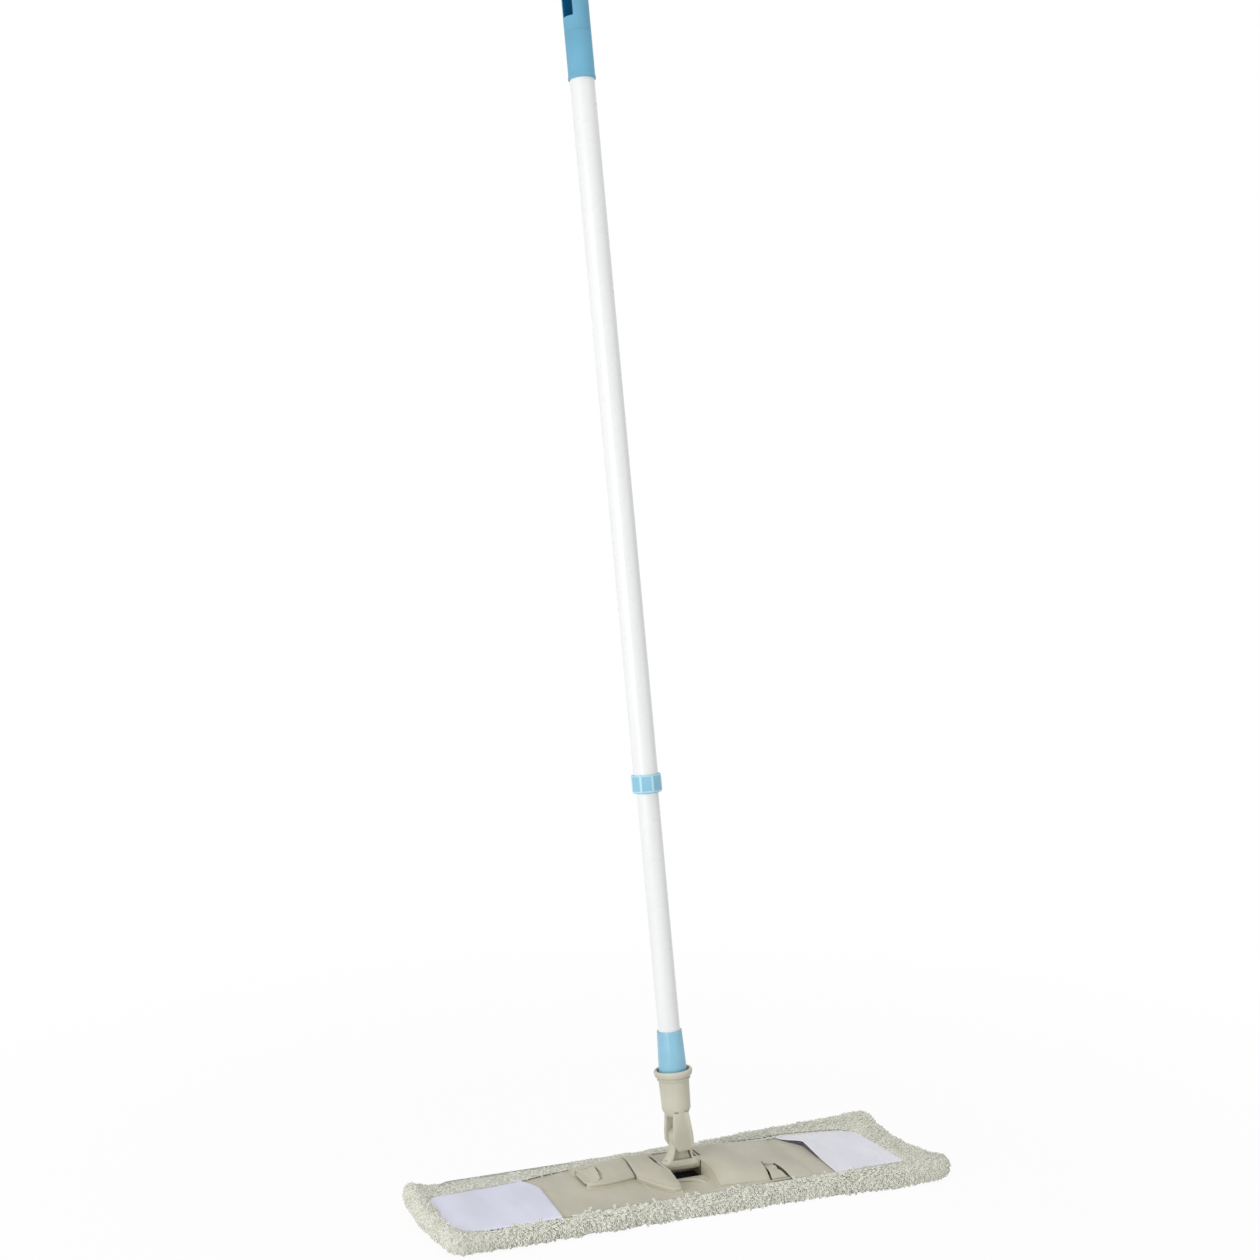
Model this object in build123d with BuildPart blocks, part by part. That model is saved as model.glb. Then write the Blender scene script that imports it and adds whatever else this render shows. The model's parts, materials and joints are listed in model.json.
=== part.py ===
"""Pocket mop: a folding head in a loop-pile pad, a two-axis swivel joint and a telescopic handle.

The origin is under the middle of the joint on the floor, with X along the head, Y to the back and Z up.
"""

import os
from math import cos, radians, sin

from build123d import *

os.makedirs("parts", exist_ok=True)

# Plate of the head
plate_length = 416.0
plate_width = 112.0
plate_corner = 16.0
plate_height = 6.0
skin = 1.6
plate_wall = 2.0
rib = 1.6
rib_count = 4

# Pad: a thick sole with a rolled rim, which sits a little forward on the plate
pad_top = 11.5
pad_forward = 2.5
rim_side = 11.0
rim_end = 25.0
rim_inset = 2.5
rim_radius = 9.2
rim_back_radius = 10.3
rim_lift = 0.4
rim_back_lift = 0.3
rim_right_lift = 3.0
rim_curl = 7.2
rim_knee_radius = 10.7
ear_ball_radius = 11.5
sole_round = 5.0
pad_gap = 0.3
fold_strip = 24.0

# Pockets
pocket_cloth = 0.8
pocket_ease = 0.3
left_pocket_mouth = 136.0
right_pocket_mouth = 124.0

# Fold hinges
hinge_x = 44.0
butt_gap = 0.3
fold_pin_radius = 1.0
fold_barrel_radius = 2.0
barrel_room = 0.5
fold_knuckles = 5
knuckle_gap = 0.3
run_clearance = 0.05
seat_clearance = 0.02

# Raised housings
housing_height = 9.9
housing_half = 46.0
housing_back = 43.4
shoulder_run = 22.6
left_front = 10.0
left_wall = 4.5
left_wall_lean = 3.0
left_facet_run = 24.0
left_seam = 1.5
left_end = 91.0
left_end_height = 4.5
right_end = 106.0
right_end_height = 1.4
right_end_front = 55.6

# Release tabs
left_tab_x = 72.5
left_toe_gap = 3.2
left_tab_front = -4.0
left_tab_width = 30.0
right_tab_x = 65.5
right_tab_length = 17.5
right_tab_back = -27.0
right_slit_width = 1.4
right_slit_length = 7.0
right_groove_depth = 0.8
tab_gap = 0.6
tab_sink = 0.5
tab_floor = 1.4
tab_pin_radius = 1.0
tab_pin_bite = 3.0
left_tab_pin_in = 2.4
left_tab_pin_height = 3.3
right_tab_pin_in = 3.0
right_tab_pin_height = 2.6
lug_half = 1.8
lug_floor = 1.0
scoop_radius = 12.0
scoop_depth = 1.6
tab_fin = 1.0

# Latch springs
spring_thickness = 0.6
spring_width = 8.0
spring_lift = 1.1
spring_ease = 0.4
spring_nose = 1.8
spring_nose_length = 1.2
spring_reach = 6.0
spring_tail = 7.0
spring_foot = 6.0
right_spring_in = 9.0
channel_height = 4.2
channel_ease = 1.0
catch_depth = 8.0
catch_lip = 2.0
catch_mouth = 2.2

# Joint slot in the carrier
slot_width = 36.0
slot_end = 46.0
well_half = 11.0
ramp_depth = 2.3
cheek_foot = 47.0
snap_slot_length = 15.0
snap_slot_width = 2.6
snap_slot_depth = 6.0
snap_slot_in = 3.2
snap_slot_back = 11.5

# Tilt knuckle
barrel_radius = 5.0
barrel_height = 23.5
barrel_side_gap = 0.3
axle_radius = 2.5
axle_bite = 7.0
web_half = 6.5
eye_radius = 8.2
pin_rise = 24.4
leg_half = 15.0
leg_height = 2.6
flank_swell = 1.6
flank_height = 9.5
recess_depth = 5.0
recess_wall = 2.2
recess_floor = 0.6

# Lean of the handle as photographed
lean_back = 4.9
lean_left = 3.6

# Fork and socket, with heights along the handle from the fork pin
fork_pin_radius = 3.0
ear_gap = 14.0
ear_thickness = 4.6
ear_cover = 1.4
ear_half = 9.2
ear_foot = 9.8
ear_foot_half = 5.6
ear_flat = 3.0
ear_neck = 6.7
ear_top = 24.0
ear_round = 2.0
socket_bottom = 20.7
socket_bottom_radius = 10.2
socket_shoulder = 26.1
socket_shoulder_radius = 12.8
socket_neck = 51.6
socket_neck_radius = 13.6
bead_radius = 15.0
bead_height = 2.6
socket_rim_radius = 17.4
socket_rim_height = 7.0
socket_rim_flare = 0.9
socket_rim_round = 1.6
socket_floor = 30.0
socket_mouth_depth = 4.4
socket_mouth_radius = 14.7

# Handle
tube_wall = 0.9
fit_clearance = 0.1
stack_gap = 0.3
lower_tube_radius = 9.75
lower_tube_length = 640.0
lower_tube_seat = 44.0
spigot_radius = 11.05
spigot_bottom = 34.0
ferrule_top = 96.0
ferrule_top_radius = 11.1
ferrule_shoulder_radius = 12.45
plug_flange = 6.0
plug_spigot = 20.0
plug_wall = 1.6
pulled_out = 212.2
upper_tube_radius = 11.0
upper_tube_length = 662.5
collar_height = 16.4
collar_flats = 26.6
collar_chamfer = 2.6
collar_lip = 1.1
sleeve_wall = 1.2
sleeve_stop = 5.0
collet_height = 3.2
collet_slit = 2.0
grip_length = 41.3
grip_radius = 11.9
grip_lip = 0.4
grip_lip_height = 3.0
cap_length = 83.0
cap_spigot = 26.0
cap_round = 8.0
hang_slot_width = 11.5
hang_slot_length = 31.0
hang_slot_rise = 12.7
hang_slot_turn = 65.0

# Levels and places worked out from the sizes above
plate_top = pad_top + plate_height
plate_half = plate_width / 2
hinge_z = pad_top + fold_barrel_radius + run_clearance
housing_top = plate_top + housing_height
slot_half = slot_width / 2
wing_edge = hinge_x + butt_gap / 2
carrier_edge = hinge_x - butt_gap / 2
hinge_room = fold_barrel_radius + barrel_room
knuckle_span = plate_width - 2 * plate_wall
knuckle_length = knuckle_span / fold_knuckles
hollow = plate_height - skin
front_spread = (right_end_front - housing_half) / (right_end - slot_half)
hinge_front = housing_half + front_spread * (hinge_x - slot_half)
left_start = hinge_x + left_seam
left_tab_middle = left_tab_front + left_tab_width / 2
right_tab_middle = right_tab_x + right_tab_length / 2
left_tab_pin_x = left_tab_x + left_toe_gap + left_tab_pin_in
right_tab_pin_y = right_tab_back - right_tab_pin_in
right_spring_y = right_tab_back - right_spring_in
spring_z = plate_top + spring_lift
spring_room = spring_lift + spring_thickness + spring_ease
channel_width = spring_width + 2 * channel_ease
pocket_wall = pocket_ease + pocket_cloth
recess_gap = pocket_wall + pocket_ease
pad_length = plate_length + 2 * rim_end
pad_width = plate_width + 2 * rim_side
rim_x = pad_length / 2 - rim_radius
rim_front = -pad_forward - pad_width / 2 + rim_radius
rim_back = -pad_forward + pad_width / 2 - rim_back_radius
socket_top = socket_neck + bead_height + socket_rim_height
socket_step = socket_top - socket_mouth_depth
fork_half = ear_gap / 2 + ear_thickness
bore_radius = spigot_radius + fit_clearance
upper_bore_radius = upper_tube_radius - tube_wall
lower_tube_top = lower_tube_seat + lower_tube_length
collar_bottom = ferrule_top + pulled_out
collar_top = collar_bottom + collar_height
collet_bottom = collar_bottom + collar_lip + stack_gap
sleeve_bottom = collet_bottom + collet_height + stack_gap
sleeve_top = collar_top - collar_lip - stack_gap
sleeve_radius = upper_tube_radius + sleeve_wall
slide_radius = lower_tube_radius + fit_clearance
upper_tube_bottom = sleeve_bottom + sleeve_stop
upper_tube_top = upper_tube_bottom + upper_tube_length
grip_bottom = upper_tube_top - grip_length
cap_bottom = upper_tube_top + stack_gap
hang_slot_middle = cap_bottom + hang_slot_rise + hang_slot_length / 2

# Frames of the tilting knuckle and of the leaning handle
back = radians(lean_back)
left = radians(lean_left)
side_out = Vector(1, 0, 0)
tilt_up = Vector(0, sin(back), cos(back))
tilt_place = Vector(0, 0, barrel_height)
pin_place = tilt_place + tilt_up * pin_rise
tilt_front = Vector(0, -cos(back), sin(back))
tilt_section = Plane(origin=tilt_place, x_dir=side_out, z_dir=tilt_front)
handle_up = tilt_up * cos(left) - side_out * sin(left)
handle_out = side_out * cos(left) + tilt_up * sin(left)
handle_frame = Plane(origin=pin_place, x_dir=handle_out, z_dir=handle_up)
handle_section = Plane(origin=pin_place, x_dir=handle_out, z_dir=tilt_front)
handle_axis = Axis(pin_place, handle_up)

on_floor = (Align.CENTER, Align.CENTER, Align.MIN)
from_corner = (Align.MIN, Align.MIN, Align.MIN)
leaf_align = (Align.MIN, Align.CENTER, Align.MIN)


def finish(piece, name):
    """Label a finished piece and write it under its name."""
    piece.part.label = name
    export_step(piece.part, f"parts/{name}.step")


def outline(plane, points):
    """Face with straight sides on a plane."""
    with BuildSketch(plane) as face:
        with BuildLine():
            Polyline(*points, close=True)
        make_face()
    return face.sketch


def disc(plane, radius):
    """Round face on a plane."""
    with BuildSketch(plane) as face:
        Circle(radius)
    return face.sketch


def ring_section(inner, outer, bottom, top):
    """Section of a plain ring on the handle axis."""
    return outline(handle_section, [(inner, bottom), (outer, bottom), (outer, top), (inner, top)])


def rounded_plan(height, grow, start=None):
    """Plan of the plate, grown all round, at a height, and cut off before start."""
    length = plate_length + 2 * grow
    with BuildSketch(Plane.XY.offset(height)) as plan:
        RectangleRounded(length, plate_width + 2 * grow, plate_corner + grow)
        if start is not None:
            with Locations((start + length / 2, 0)):
                Rectangle(length, plate_width + 2 * grow, mode=Mode.INTERSECT)
    return plan.sketch


def arch_section(place, front, height):
    """Section of a housing across the head: two round shoulders and a flat top."""
    top = plate_top + height
    radius = (shoulder_run**2 + height**2) / (2 * height)
    with BuildSketch(Plane.YZ.offset(place)) as section:
        with BuildLine():
            RadiusArc((-front, plate_top), (shoulder_run - front, top), radius)
            Line((shoulder_run - front, top), (housing_back - shoulder_run, top))
            RadiusArc((housing_back - shoulder_run, top), (housing_back, plate_top), radius)
            Line((housing_back, plate_top), (-front, plate_top))
        make_face()
    return section.sketch


def facet_cut(place):
    """Cut in front of a faceted housing: a low leaning wall and a long flat facet up to the top."""
    far = -2 * plate_width
    above = plate_top + 3 * housing_height
    wall_top = left_wall_lean - left_front
    points = [
        (far, plate_top),
        (-left_front, plate_top),
        (wall_top, plate_top + left_wall),
        (wall_top + left_facet_run, housing_top),
        (wall_top + left_facet_run, above),
        (far, above),
    ]
    return outline(Plane.YZ.offset(place), points)


def knuckle_places(remainder):
    """Middles of every other hinge knuckle along the fold."""
    first = -knuckle_span / 2 + knuckle_length / 2
    return [first + knuckle_length * i for i in range(fold_knuckles) if i % 2 == remainder]


# Turns of the rolled rim, with its right end curling up
rim_low = rim_radius + rim_lift
rim_turns = [
    Vector(-rim_x, rim_front, rim_low),
    Vector(rim_x, rim_front, rim_low + rim_right_lift),
    Vector(rim_x, rim_back, rim_low + rim_back_lift + rim_curl),
    Vector(-rim_x, rim_back, rim_low + rim_back_lift),
    Vector(0, rim_back, rim_low + rim_back_lift),
]
rim_bars = (
    (rim_turns[0], rim_turns[1], rim_radius),
    (rim_turns[1], rim_turns[2], rim_radius),
    (rim_turns[2], rim_turns[4], rim_back_radius),
    (rim_turns[4], rim_turns[3], rim_back_radius),
    (rim_turns[3], rim_turns[0], rim_radius),
)

# Form of the whole pad, cut into its five stretches below
with BuildPart() as pad_form:
    with BuildSketch():
        with Locations((0, -pad_forward)):
            sole_length = pad_length - 2 * rim_inset
            sole_width = pad_width - 2 * rim_inset
            RectangleRounded(sole_length, sole_width, ear_ball_radius)
    extrude(amount=pad_top)
    fillet(pad_form.faces().sort_by(Axis.Z)[0].edges(), sole_round)
    for start, end, radius in rim_bars:
        along = end - start
        extrude(disc(Plane(origin=start, z_dir=along), radius), amount=along.length)
    with Locations(*rim_turns[:4]):
        Sphere(ear_ball_radius)
    with Locations(rim_turns[4]):
        Sphere(rim_knee_radius)
    extrude(rounded_plan(pad_top, recess_gap), amount=plate_height + recess_gap, mode=Mode.SUBTRACT)
    Box(2 * pad_length, 2 * pad_width, pad_length, align=on_floor, mode=Mode.INTERSECT)

fold_start = hinge_x - fold_strip / 2
fold_end = hinge_x + fold_strip / 2
pad_stretches = (
    ("pad_left", -pad_length, -fold_end - pad_gap),
    ("pad_fold_left", -fold_end, -fold_start),
    ("pad_middle", -fold_start + pad_gap, fold_start - pad_gap),
    ("pad_fold_right", fold_start, fold_end),
    ("pad_right", fold_end + pad_gap, pad_length),
)
for name, start, end in pad_stretches:
    with BuildPart() as stretch:
        add(pad_form.part)
        with Locations(((start + end) / 2, 0, 0)):
            Box(end - start, 2 * pad_width, pad_length, mode=Mode.INTERSECT)
    finish(stretch, name)

# Pockets over the two ends of the plate
for name, mouth in (("left_pocket", left_pocket_mouth), ("right_pocket", right_pocket_mouth)):
    with BuildPart() as pocket:
        extrude(rounded_plan(pad_top, pocket_wall, mouth), amount=plate_height + pocket_wall)
        extrude(rounded_plan(pad_top, pocket_ease), amount=plate_height + pocket_ease, mode=Mode.SUBTRACT)
        if name == "left_pocket":
            mirror(about=Plane.YZ, mode=Mode.REPLACE)
    finish(pocket, name)

# Carrier: cheeks beside the joint slot, plate, hinge knuckles, axle bore and latch catches
cheek_run = Vector(hinge_x - slot_half, left_front - cheek_foot, 0)
with BuildPart() as carrier:
    extrude(arch_section(-carrier_edge, housing_half, housing_height), amount=carrier_edge - slot_half)
    extrude(facet_cut(-hinge_x), amount=plate_length, dir=cheek_run, both=True, mode=Mode.SUBTRACT)
    loft(
        [
            arch_section(slot_half, housing_half, housing_height).face(),
            arch_section(carrier_edge, hinge_front, housing_height).face(),
        ],
        ruled=True,
    )
    with Locations((0, 0, pad_top)):
        Box(2 * carrier_edge, plate_width, plate_height, align=on_floor)
    ramp = [
        (-slot_end, plate_top),
        (-well_half, plate_top - ramp_depth),
        (well_half, plate_top - ramp_depth),
        (slot_end, plate_top),
    ]
    extrude(outline(Plane.YZ, ramp), amount=slot_half, both=True, mode=Mode.SUBTRACT)
    with Locations((0, 0, pad_top)):
        Box(slot_width, 2 * well_half, plate_height, align=on_floor, mode=Mode.SUBTRACT)
    hollow_inner = slot_half + plate_wall
    hollow_length = hinge_x - hinge_room - plate_wall - hollow_inner
    for sign in (-1, 1):
        with Locations((sign * hinge_x, 0, pad_top)):
            Box(2 * hinge_room, plate_width, hollow, align=on_floor, mode=Mode.SUBTRACT)
        with Locations((sign * (hollow_inner + hollow_length / 2), 0, pad_top)):
            Box(hollow_length, knuckle_span, hollow, align=on_floor, mode=Mode.SUBTRACT)
        for place in knuckle_places(0):
            with Locations((sign * hinge_x, place, hinge_z)):
                Cylinder(fold_barrel_radius, knuckle_length - knuckle_gap, rotation=(90, 0, 0))
            with Locations((sign * (hinge_x - hinge_room / 2 - plate_wall / 4), place, hinge_z)):
                Box(hinge_room + plate_wall / 2, knuckle_length - knuckle_gap, fold_barrel_radius)
        with Locations((sign * hinge_x, 0, hinge_z)):
            hole_radius = fold_pin_radius + seat_clearance
            Cylinder(hole_radius, plate_width, rotation=(90, 0, 0), mode=Mode.SUBTRACT)
        with Locations((sign * (slot_half + snap_slot_in), snap_slot_back, housing_top)):
            Box(snap_slot_width, snap_slot_length, 2 * snap_slot_depth, mode=Mode.SUBTRACT)
    with Locations((0, 0, barrel_height)):
        bore_length = 2 * (slot_half + axle_bite)
        Cylinder(axle_radius + seat_clearance, bore_length, rotation=(0, 90, 0), mode=Mode.SUBTRACT)
    for sign, place in ((-1, left_tab_middle), (1, right_spring_y)):
        with Locations((sign * (carrier_edge - catch_lip / 2), place, plate_top)):
            Box(catch_lip, channel_width, catch_mouth, align=on_floor, mode=Mode.SUBTRACT)
        with Locations((sign * (carrier_edge - (catch_lip + catch_depth) / 2), place, plate_top)):
            Box(catch_depth - catch_lip, channel_width, channel_height, align=on_floor, mode=Mode.SUBTRACT)
finish(carrier, "carrier")

# Cross axle of the tilt knuckle
with BuildPart() as tilt_axle:
    with Locations((0, 0, barrel_height)):
        Cylinder(axle_radius, 2 * (slot_half + axle_bite - stack_gap), rotation=(0, 90, 0))
finish(tilt_axle, "tilt_axle")

# Housings of the two wings, both as if they lay to the right
with BuildPart() as left_housing:
    loft(
        [
            arch_section(left_start, housing_half, housing_height).face(),
            arch_section(left_end, housing_half, left_end_height).face(),
        ],
        ruled=True,
    )
    extrude(facet_cut(left_start), amount=plate_length, mode=Mode.SUBTRACT)

with BuildPart() as right_housing:
    loft(
        [
            arch_section(wing_edge, hinge_front, housing_height).face(),
            arch_section(right_end, right_end_front, right_end_height).face(),
        ],
        ruled=True,
    )

# Wings: plates with ribs, hinge knuckles, housings, spring channels and room for the tabs
rib_step = (plate_length / 2 - hinge_x) / (rib_count + 1)
for name, housing, tab_start, spring_y in (
    ("left", left_housing, left_tab_x, left_tab_middle),
    ("right", right_housing, right_tab_x, right_spring_y),
):
    with BuildPart() as wing:
        extrude(rounded_plan(pad_top, 0, wing_edge), amount=plate_height)
        cavity = rounded_plan(pad_top, -plate_wall, hinge_x + hinge_room + plate_wall)
        extrude(cavity, amount=hollow, mode=Mode.SUBTRACT)
        with Locations((hinge_x, 0, pad_top)):
            Box(2 * hinge_room, plate_width, hollow, align=on_floor, mode=Mode.SUBTRACT)
        for i in range(rib_count):
            with Locations((hinge_x + rib_step * (i + 1), 0, pad_top)):
                Box(rib, knuckle_span, hollow, align=on_floor)
        for place in knuckle_places(1):
            with Locations((hinge_x, place, hinge_z)):
                Cylinder(fold_barrel_radius, knuckle_length - knuckle_gap, rotation=(90, 0, 0))
            with Locations((hinge_x + hinge_room / 2 + plate_wall / 4, place, hinge_z)):
                Box(hinge_room + plate_wall / 2, knuckle_length - knuckle_gap, fold_barrel_radius)
        with Locations((hinge_x, 0, hinge_z)):
            hole_radius = fold_pin_radius + run_clearance
            Cylinder(hole_radius, plate_width, rotation=(90, 0, 0), mode=Mode.SUBTRACT)
        add(housing.part)
        with Locations((wing_edge, spring_y, plate_top)):
            channel_length = tab_start - wing_edge
            Box(channel_length, channel_width, channel_height, align=leaf_align, mode=Mode.SUBTRACT)
        if name == "left":
            with Locations((left_tab_x, left_tab_front, plate_top)):
                notch_length = left_end - left_tab_x
                Box(notch_length, left_tab_width, housing_height, align=from_corner, mode=Mode.SUBTRACT)
            with Locations((left_tab_pin_x, left_tab_middle, plate_top + left_tab_pin_height)):
                hole_length = left_tab_width + 2 * tab_pin_bite
                hole_radius = tab_pin_radius + seat_clearance
                Cylinder(hole_radius, hole_length, rotation=(90, 0, 0), mode=Mode.SUBTRACT)
            mirror(about=Plane.YZ, mode=Mode.REPLACE)
        else:
            with Locations((right_tab_x, right_tab_back - plate_half, plate_top)):
                Box(right_tab_length, plate_half, housing_height, align=from_corner, mode=Mode.SUBTRACT)
            with Locations((right_tab_x, right_tab_back, plate_top)):
                slit = (right_slit_width, right_slit_length, housing_height)
                Box(*slit, align=from_corner, mode=Mode.SUBTRACT)
            for edge in (right_tab_x + tab_gap / 2, right_tab_x + right_tab_length - tab_gap / 2):
                with Locations((edge, right_tab_back - plate_half / 2, plate_top)):
                    groove = (tab_gap, plate_half, 2 * right_groove_depth)
                    Box(*groove, mode=Mode.SUBTRACT)
            with Locations((right_tab_middle, right_tab_pin_y, plate_top + right_tab_pin_height)):
                hole_length = right_tab_length + 2 * tab_pin_bite
                hole_radius = tab_pin_radius + seat_clearance
                Cylinder(hole_radius, hole_length, rotation=(0, 90, 0), mode=Mode.SUBTRACT)
    finish(wing, f"{name}_wing")

# Hinge pins of the two folds
for name, sign in (("left_fold_pin", -1), ("right_fold_pin", 1)):
    with BuildPart() as fold_pin:
        with Locations((sign * hinge_x, 0, hinge_z)):
            Cylinder(fold_pin_radius, knuckle_span, rotation=(90, 0, 0))
    finish(fold_pin, name)

# Left release tab: rocks on a pin across its inner end, with a scoop for the toe
with BuildPart() as left_tab:
    with Locations((0, 0, -tab_sink)):
        add(left_housing.part)
    tab_start = left_tab_x + left_toe_gap
    tab_length = left_end - tab_start
    tab_width = left_tab_width - 2 * tab_gap
    with Locations((tab_start, left_tab_front + tab_gap, plate_top + tab_floor)):
        Box(tab_length, tab_width, housing_height, align=from_corner, mode=Mode.INTERSECT)
    with Locations((left_tab_pin_x, left_tab_middle, plate_top + lug_floor)):
        Box(2 * lug_half, tab_width, left_tab_pin_height, align=on_floor)
    fall = (housing_height - left_end_height) / (left_end - left_start)
    scoop_x = tab_start + tab_fin + (tab_length - tab_fin) / 2
    scoop_z = housing_top - fall * (scoop_x - left_start) - scoop_depth + scoop_radius
    with Locations((scoop_x, left_tab_middle, scoop_z)):
        Cylinder(scoop_radius, left_tab_width, rotation=(90, 0, 0), mode=Mode.SUBTRACT)
    with Locations((left_tab_x, left_tab_middle, plate_top)):
        room = (spring_tail + channel_ease, channel_width, spring_room)
        Box(*room, align=leaf_align, mode=Mode.SUBTRACT)
    with Locations((left_tab_pin_x, left_tab_middle, plate_top + left_tab_pin_height)):
        hole_radius = tab_pin_radius + run_clearance
        Cylinder(hole_radius, left_tab_width, rotation=(90, 0, 0), mode=Mode.SUBTRACT)
    mirror(about=Plane.YZ, mode=Mode.REPLACE)
finish(left_tab, "left_release_tab")

with BuildPart() as left_tab_pin:
    with Locations((-left_tab_pin_x, left_tab_middle, plate_top + left_tab_pin_height)):
        Cylinder(tab_pin_radius, left_tab_width + 2 * tab_pin_bite - stack_gap, rotation=(90, 0, 0))
finish(left_tab_pin, "left_tab_pin")

# Right release tab: rocks on a pin along its back edge
with BuildPart() as right_tab:
    with Locations((0, 0, -tab_sink)):
        add(right_housing.part)
    tab_width = right_tab_length - 2 * tab_gap
    tab_front = right_tab_back - tab_gap - plate_half
    with Locations((right_tab_x + tab_gap, tab_front, plate_top + tab_floor)):
        Box(tab_width, plate_half, housing_height, align=from_corner, mode=Mode.INTERSECT)
    with Locations((right_tab_middle, right_tab_pin_y, plate_top + lug_floor)):
        Box(tab_width, 2 * lug_half, right_tab_pin_height, align=on_floor)
    with Locations((right_tab_x, right_spring_y, plate_top)):
        room = (spring_tail + channel_ease, channel_width, spring_room)
        Box(*room, align=leaf_align, mode=Mode.SUBTRACT)
    with Locations((right_tab_middle, right_tab_pin_y, plate_top + right_tab_pin_height)):
        hole_radius = tab_pin_radius + run_clearance
        Cylinder(hole_radius, right_tab_length, rotation=(0, 90, 0), mode=Mode.SUBTRACT)
finish(right_tab, "right_release_tab")

with BuildPart() as right_tab_pin:
    with Locations((right_tab_middle, right_tab_pin_y, plate_top + right_tab_pin_height)):
        Cylinder(tab_pin_radius, right_tab_length + 2 * tab_pin_bite - stack_gap, rotation=(0, 90, 0))
finish(right_tab_pin, "right_tab_pin")

# Latch springs: a leaf on a foot, with a nose behind the lip of the catch
for name, tab_start, spring_y in (
    ("left", left_tab_x, left_tab_middle),
    ("right", right_tab_x, right_spring_y),
):
    leaf_start = hinge_x - spring_reach
    with BuildPart() as spring:
        with Locations((leaf_start, spring_y, spring_z)):
            Box(tab_start + spring_tail - leaf_start, spring_width, spring_thickness, align=leaf_align)
            Box(spring_nose_length, spring_width, spring_nose, align=leaf_align)
        with Locations(((wing_edge + tab_start) / 2, spring_y, plate_top)):
            Box(spring_foot, spring_width, spring_lift, align=on_floor)
        if name == "left":
            mirror(about=Plane.YZ, mode=Mode.REPLACE)
    finish(spring, f"{name}_latch_spring")

# Tilt knuckle: barrel on the cross axle, and an upright web with the eye of the fork pin
waist = eye_radius + flank_swell
recess_bottom = barrel_radius + recess_floor
recess_top = pin_rise - ear_half
recess = [
    (recess_wall - waist - flank_swell, recess_bottom),
    (waist + flank_swell - recess_wall, recess_bottom),
    (eye_radius - recess_wall, recess_top),
    (recess_wall - eye_radius, recess_top),
]
with BuildPart() as knuckle:
    with BuildSketch(tilt_section):
        with BuildLine():
            Line((-leg_half, 0), (-leg_half, leg_height))
            ThreePointArc((-leg_half, leg_height), (-waist, flank_height), (-eye_radius, pin_rise))
            Line((-eye_radius, pin_rise), (eye_radius, pin_rise))
            ThreePointArc((eye_radius, pin_rise), (waist, flank_height), (leg_half, leg_height))
            Line((leg_half, leg_height), (leg_half, 0))
            Line((leg_half, 0), (-leg_half, 0))
        make_face()
        with Locations((0, pin_rise)):
            Circle(eye_radius)
    extrude(amount=web_half, both=True)
    for start in (-web_half, web_half - recess_depth):
        extrude(outline(tilt_section.offset(start), recess), amount=recess_depth, mode=Mode.SUBTRACT)
    barrel_plane = Plane(origin=tilt_place, x_dir=tilt_up, z_dir=side_out)
    extrude(disc(barrel_plane, barrel_radius), amount=slot_half - barrel_side_gap, both=True)
    extrude(disc(barrel_plane, axle_radius + run_clearance), amount=slot_width, both=True, mode=Mode.SUBTRACT)
    eye_plane = Plane(origin=pin_place, x_dir=side_out, z_dir=tilt_front)
    extrude(disc(eye_plane, fork_pin_radius + run_clearance), amount=ear_gap, both=True, mode=Mode.SUBTRACT)
finish(knuckle, "tilt_knuckle")

# Fork and socket in one moulding
ear_side = [
    (ear_neck, ear_top),
    (ear_half, ear_flat),
    (ear_half, -ear_flat),
    (ear_foot_half, -ear_foot),
]
rim_bottom = socket_neck + bead_height
socket_points = [
    (0, socket_bottom),
    (socket_bottom_radius, socket_bottom),
    (socket_shoulder_radius, socket_shoulder),
    (socket_neck_radius, socket_neck),
    (bead_radius, socket_neck + bead_height / 3),
    (bead_radius, socket_neck + 2 * bead_height / 3),
    (socket_neck_radius, rim_bottom),
    (socket_rim_radius - socket_rim_flare, rim_bottom + socket_rim_round),
    (socket_rim_radius, socket_top - socket_rim_round),
    (socket_rim_radius - socket_rim_flare, socket_top),
    (socket_mouth_radius, socket_top),
    (socket_mouth_radius, socket_step),
    (bore_radius, socket_step),
    (bore_radius, socket_floor),
    (0, socket_floor),
]
with BuildPart() as socket:
    with BuildSketch(handle_section) as ear:
        with BuildLine():
            Polyline(*ear_side, *[(-x, y) for x, y in reversed(ear_side)], close=True)
        make_face()
        fillet(ear.vertices().group_by(Axis(pin_place, handle_up))[0], ear_round)
    extrude(amount=fork_half, both=True)
    with BuildSketch(handle_section):
        with Locations((0, socket_bottom)):
            Rectangle(4 * ear_half, 4 * ear_half, align=(Align.CENTER, Align.MAX))
    extrude(amount=ear_gap / 2, both=True, mode=Mode.SUBTRACT)
    ear_hole = disc(handle_section, fork_pin_radius + seat_clearance)
    extrude(ear_hole, amount=fork_half - ear_cover, both=True, mode=Mode.SUBTRACT)
    revolve(outline(handle_section, socket_points), axis=handle_axis)
finish(socket, "swivel_socket")

with BuildPart() as fork_pin:
    extrude(disc(handle_section, fork_pin_radius), amount=fork_half - ear_cover - stack_gap, both=True)
finish(fork_pin, "fork_pin")

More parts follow.
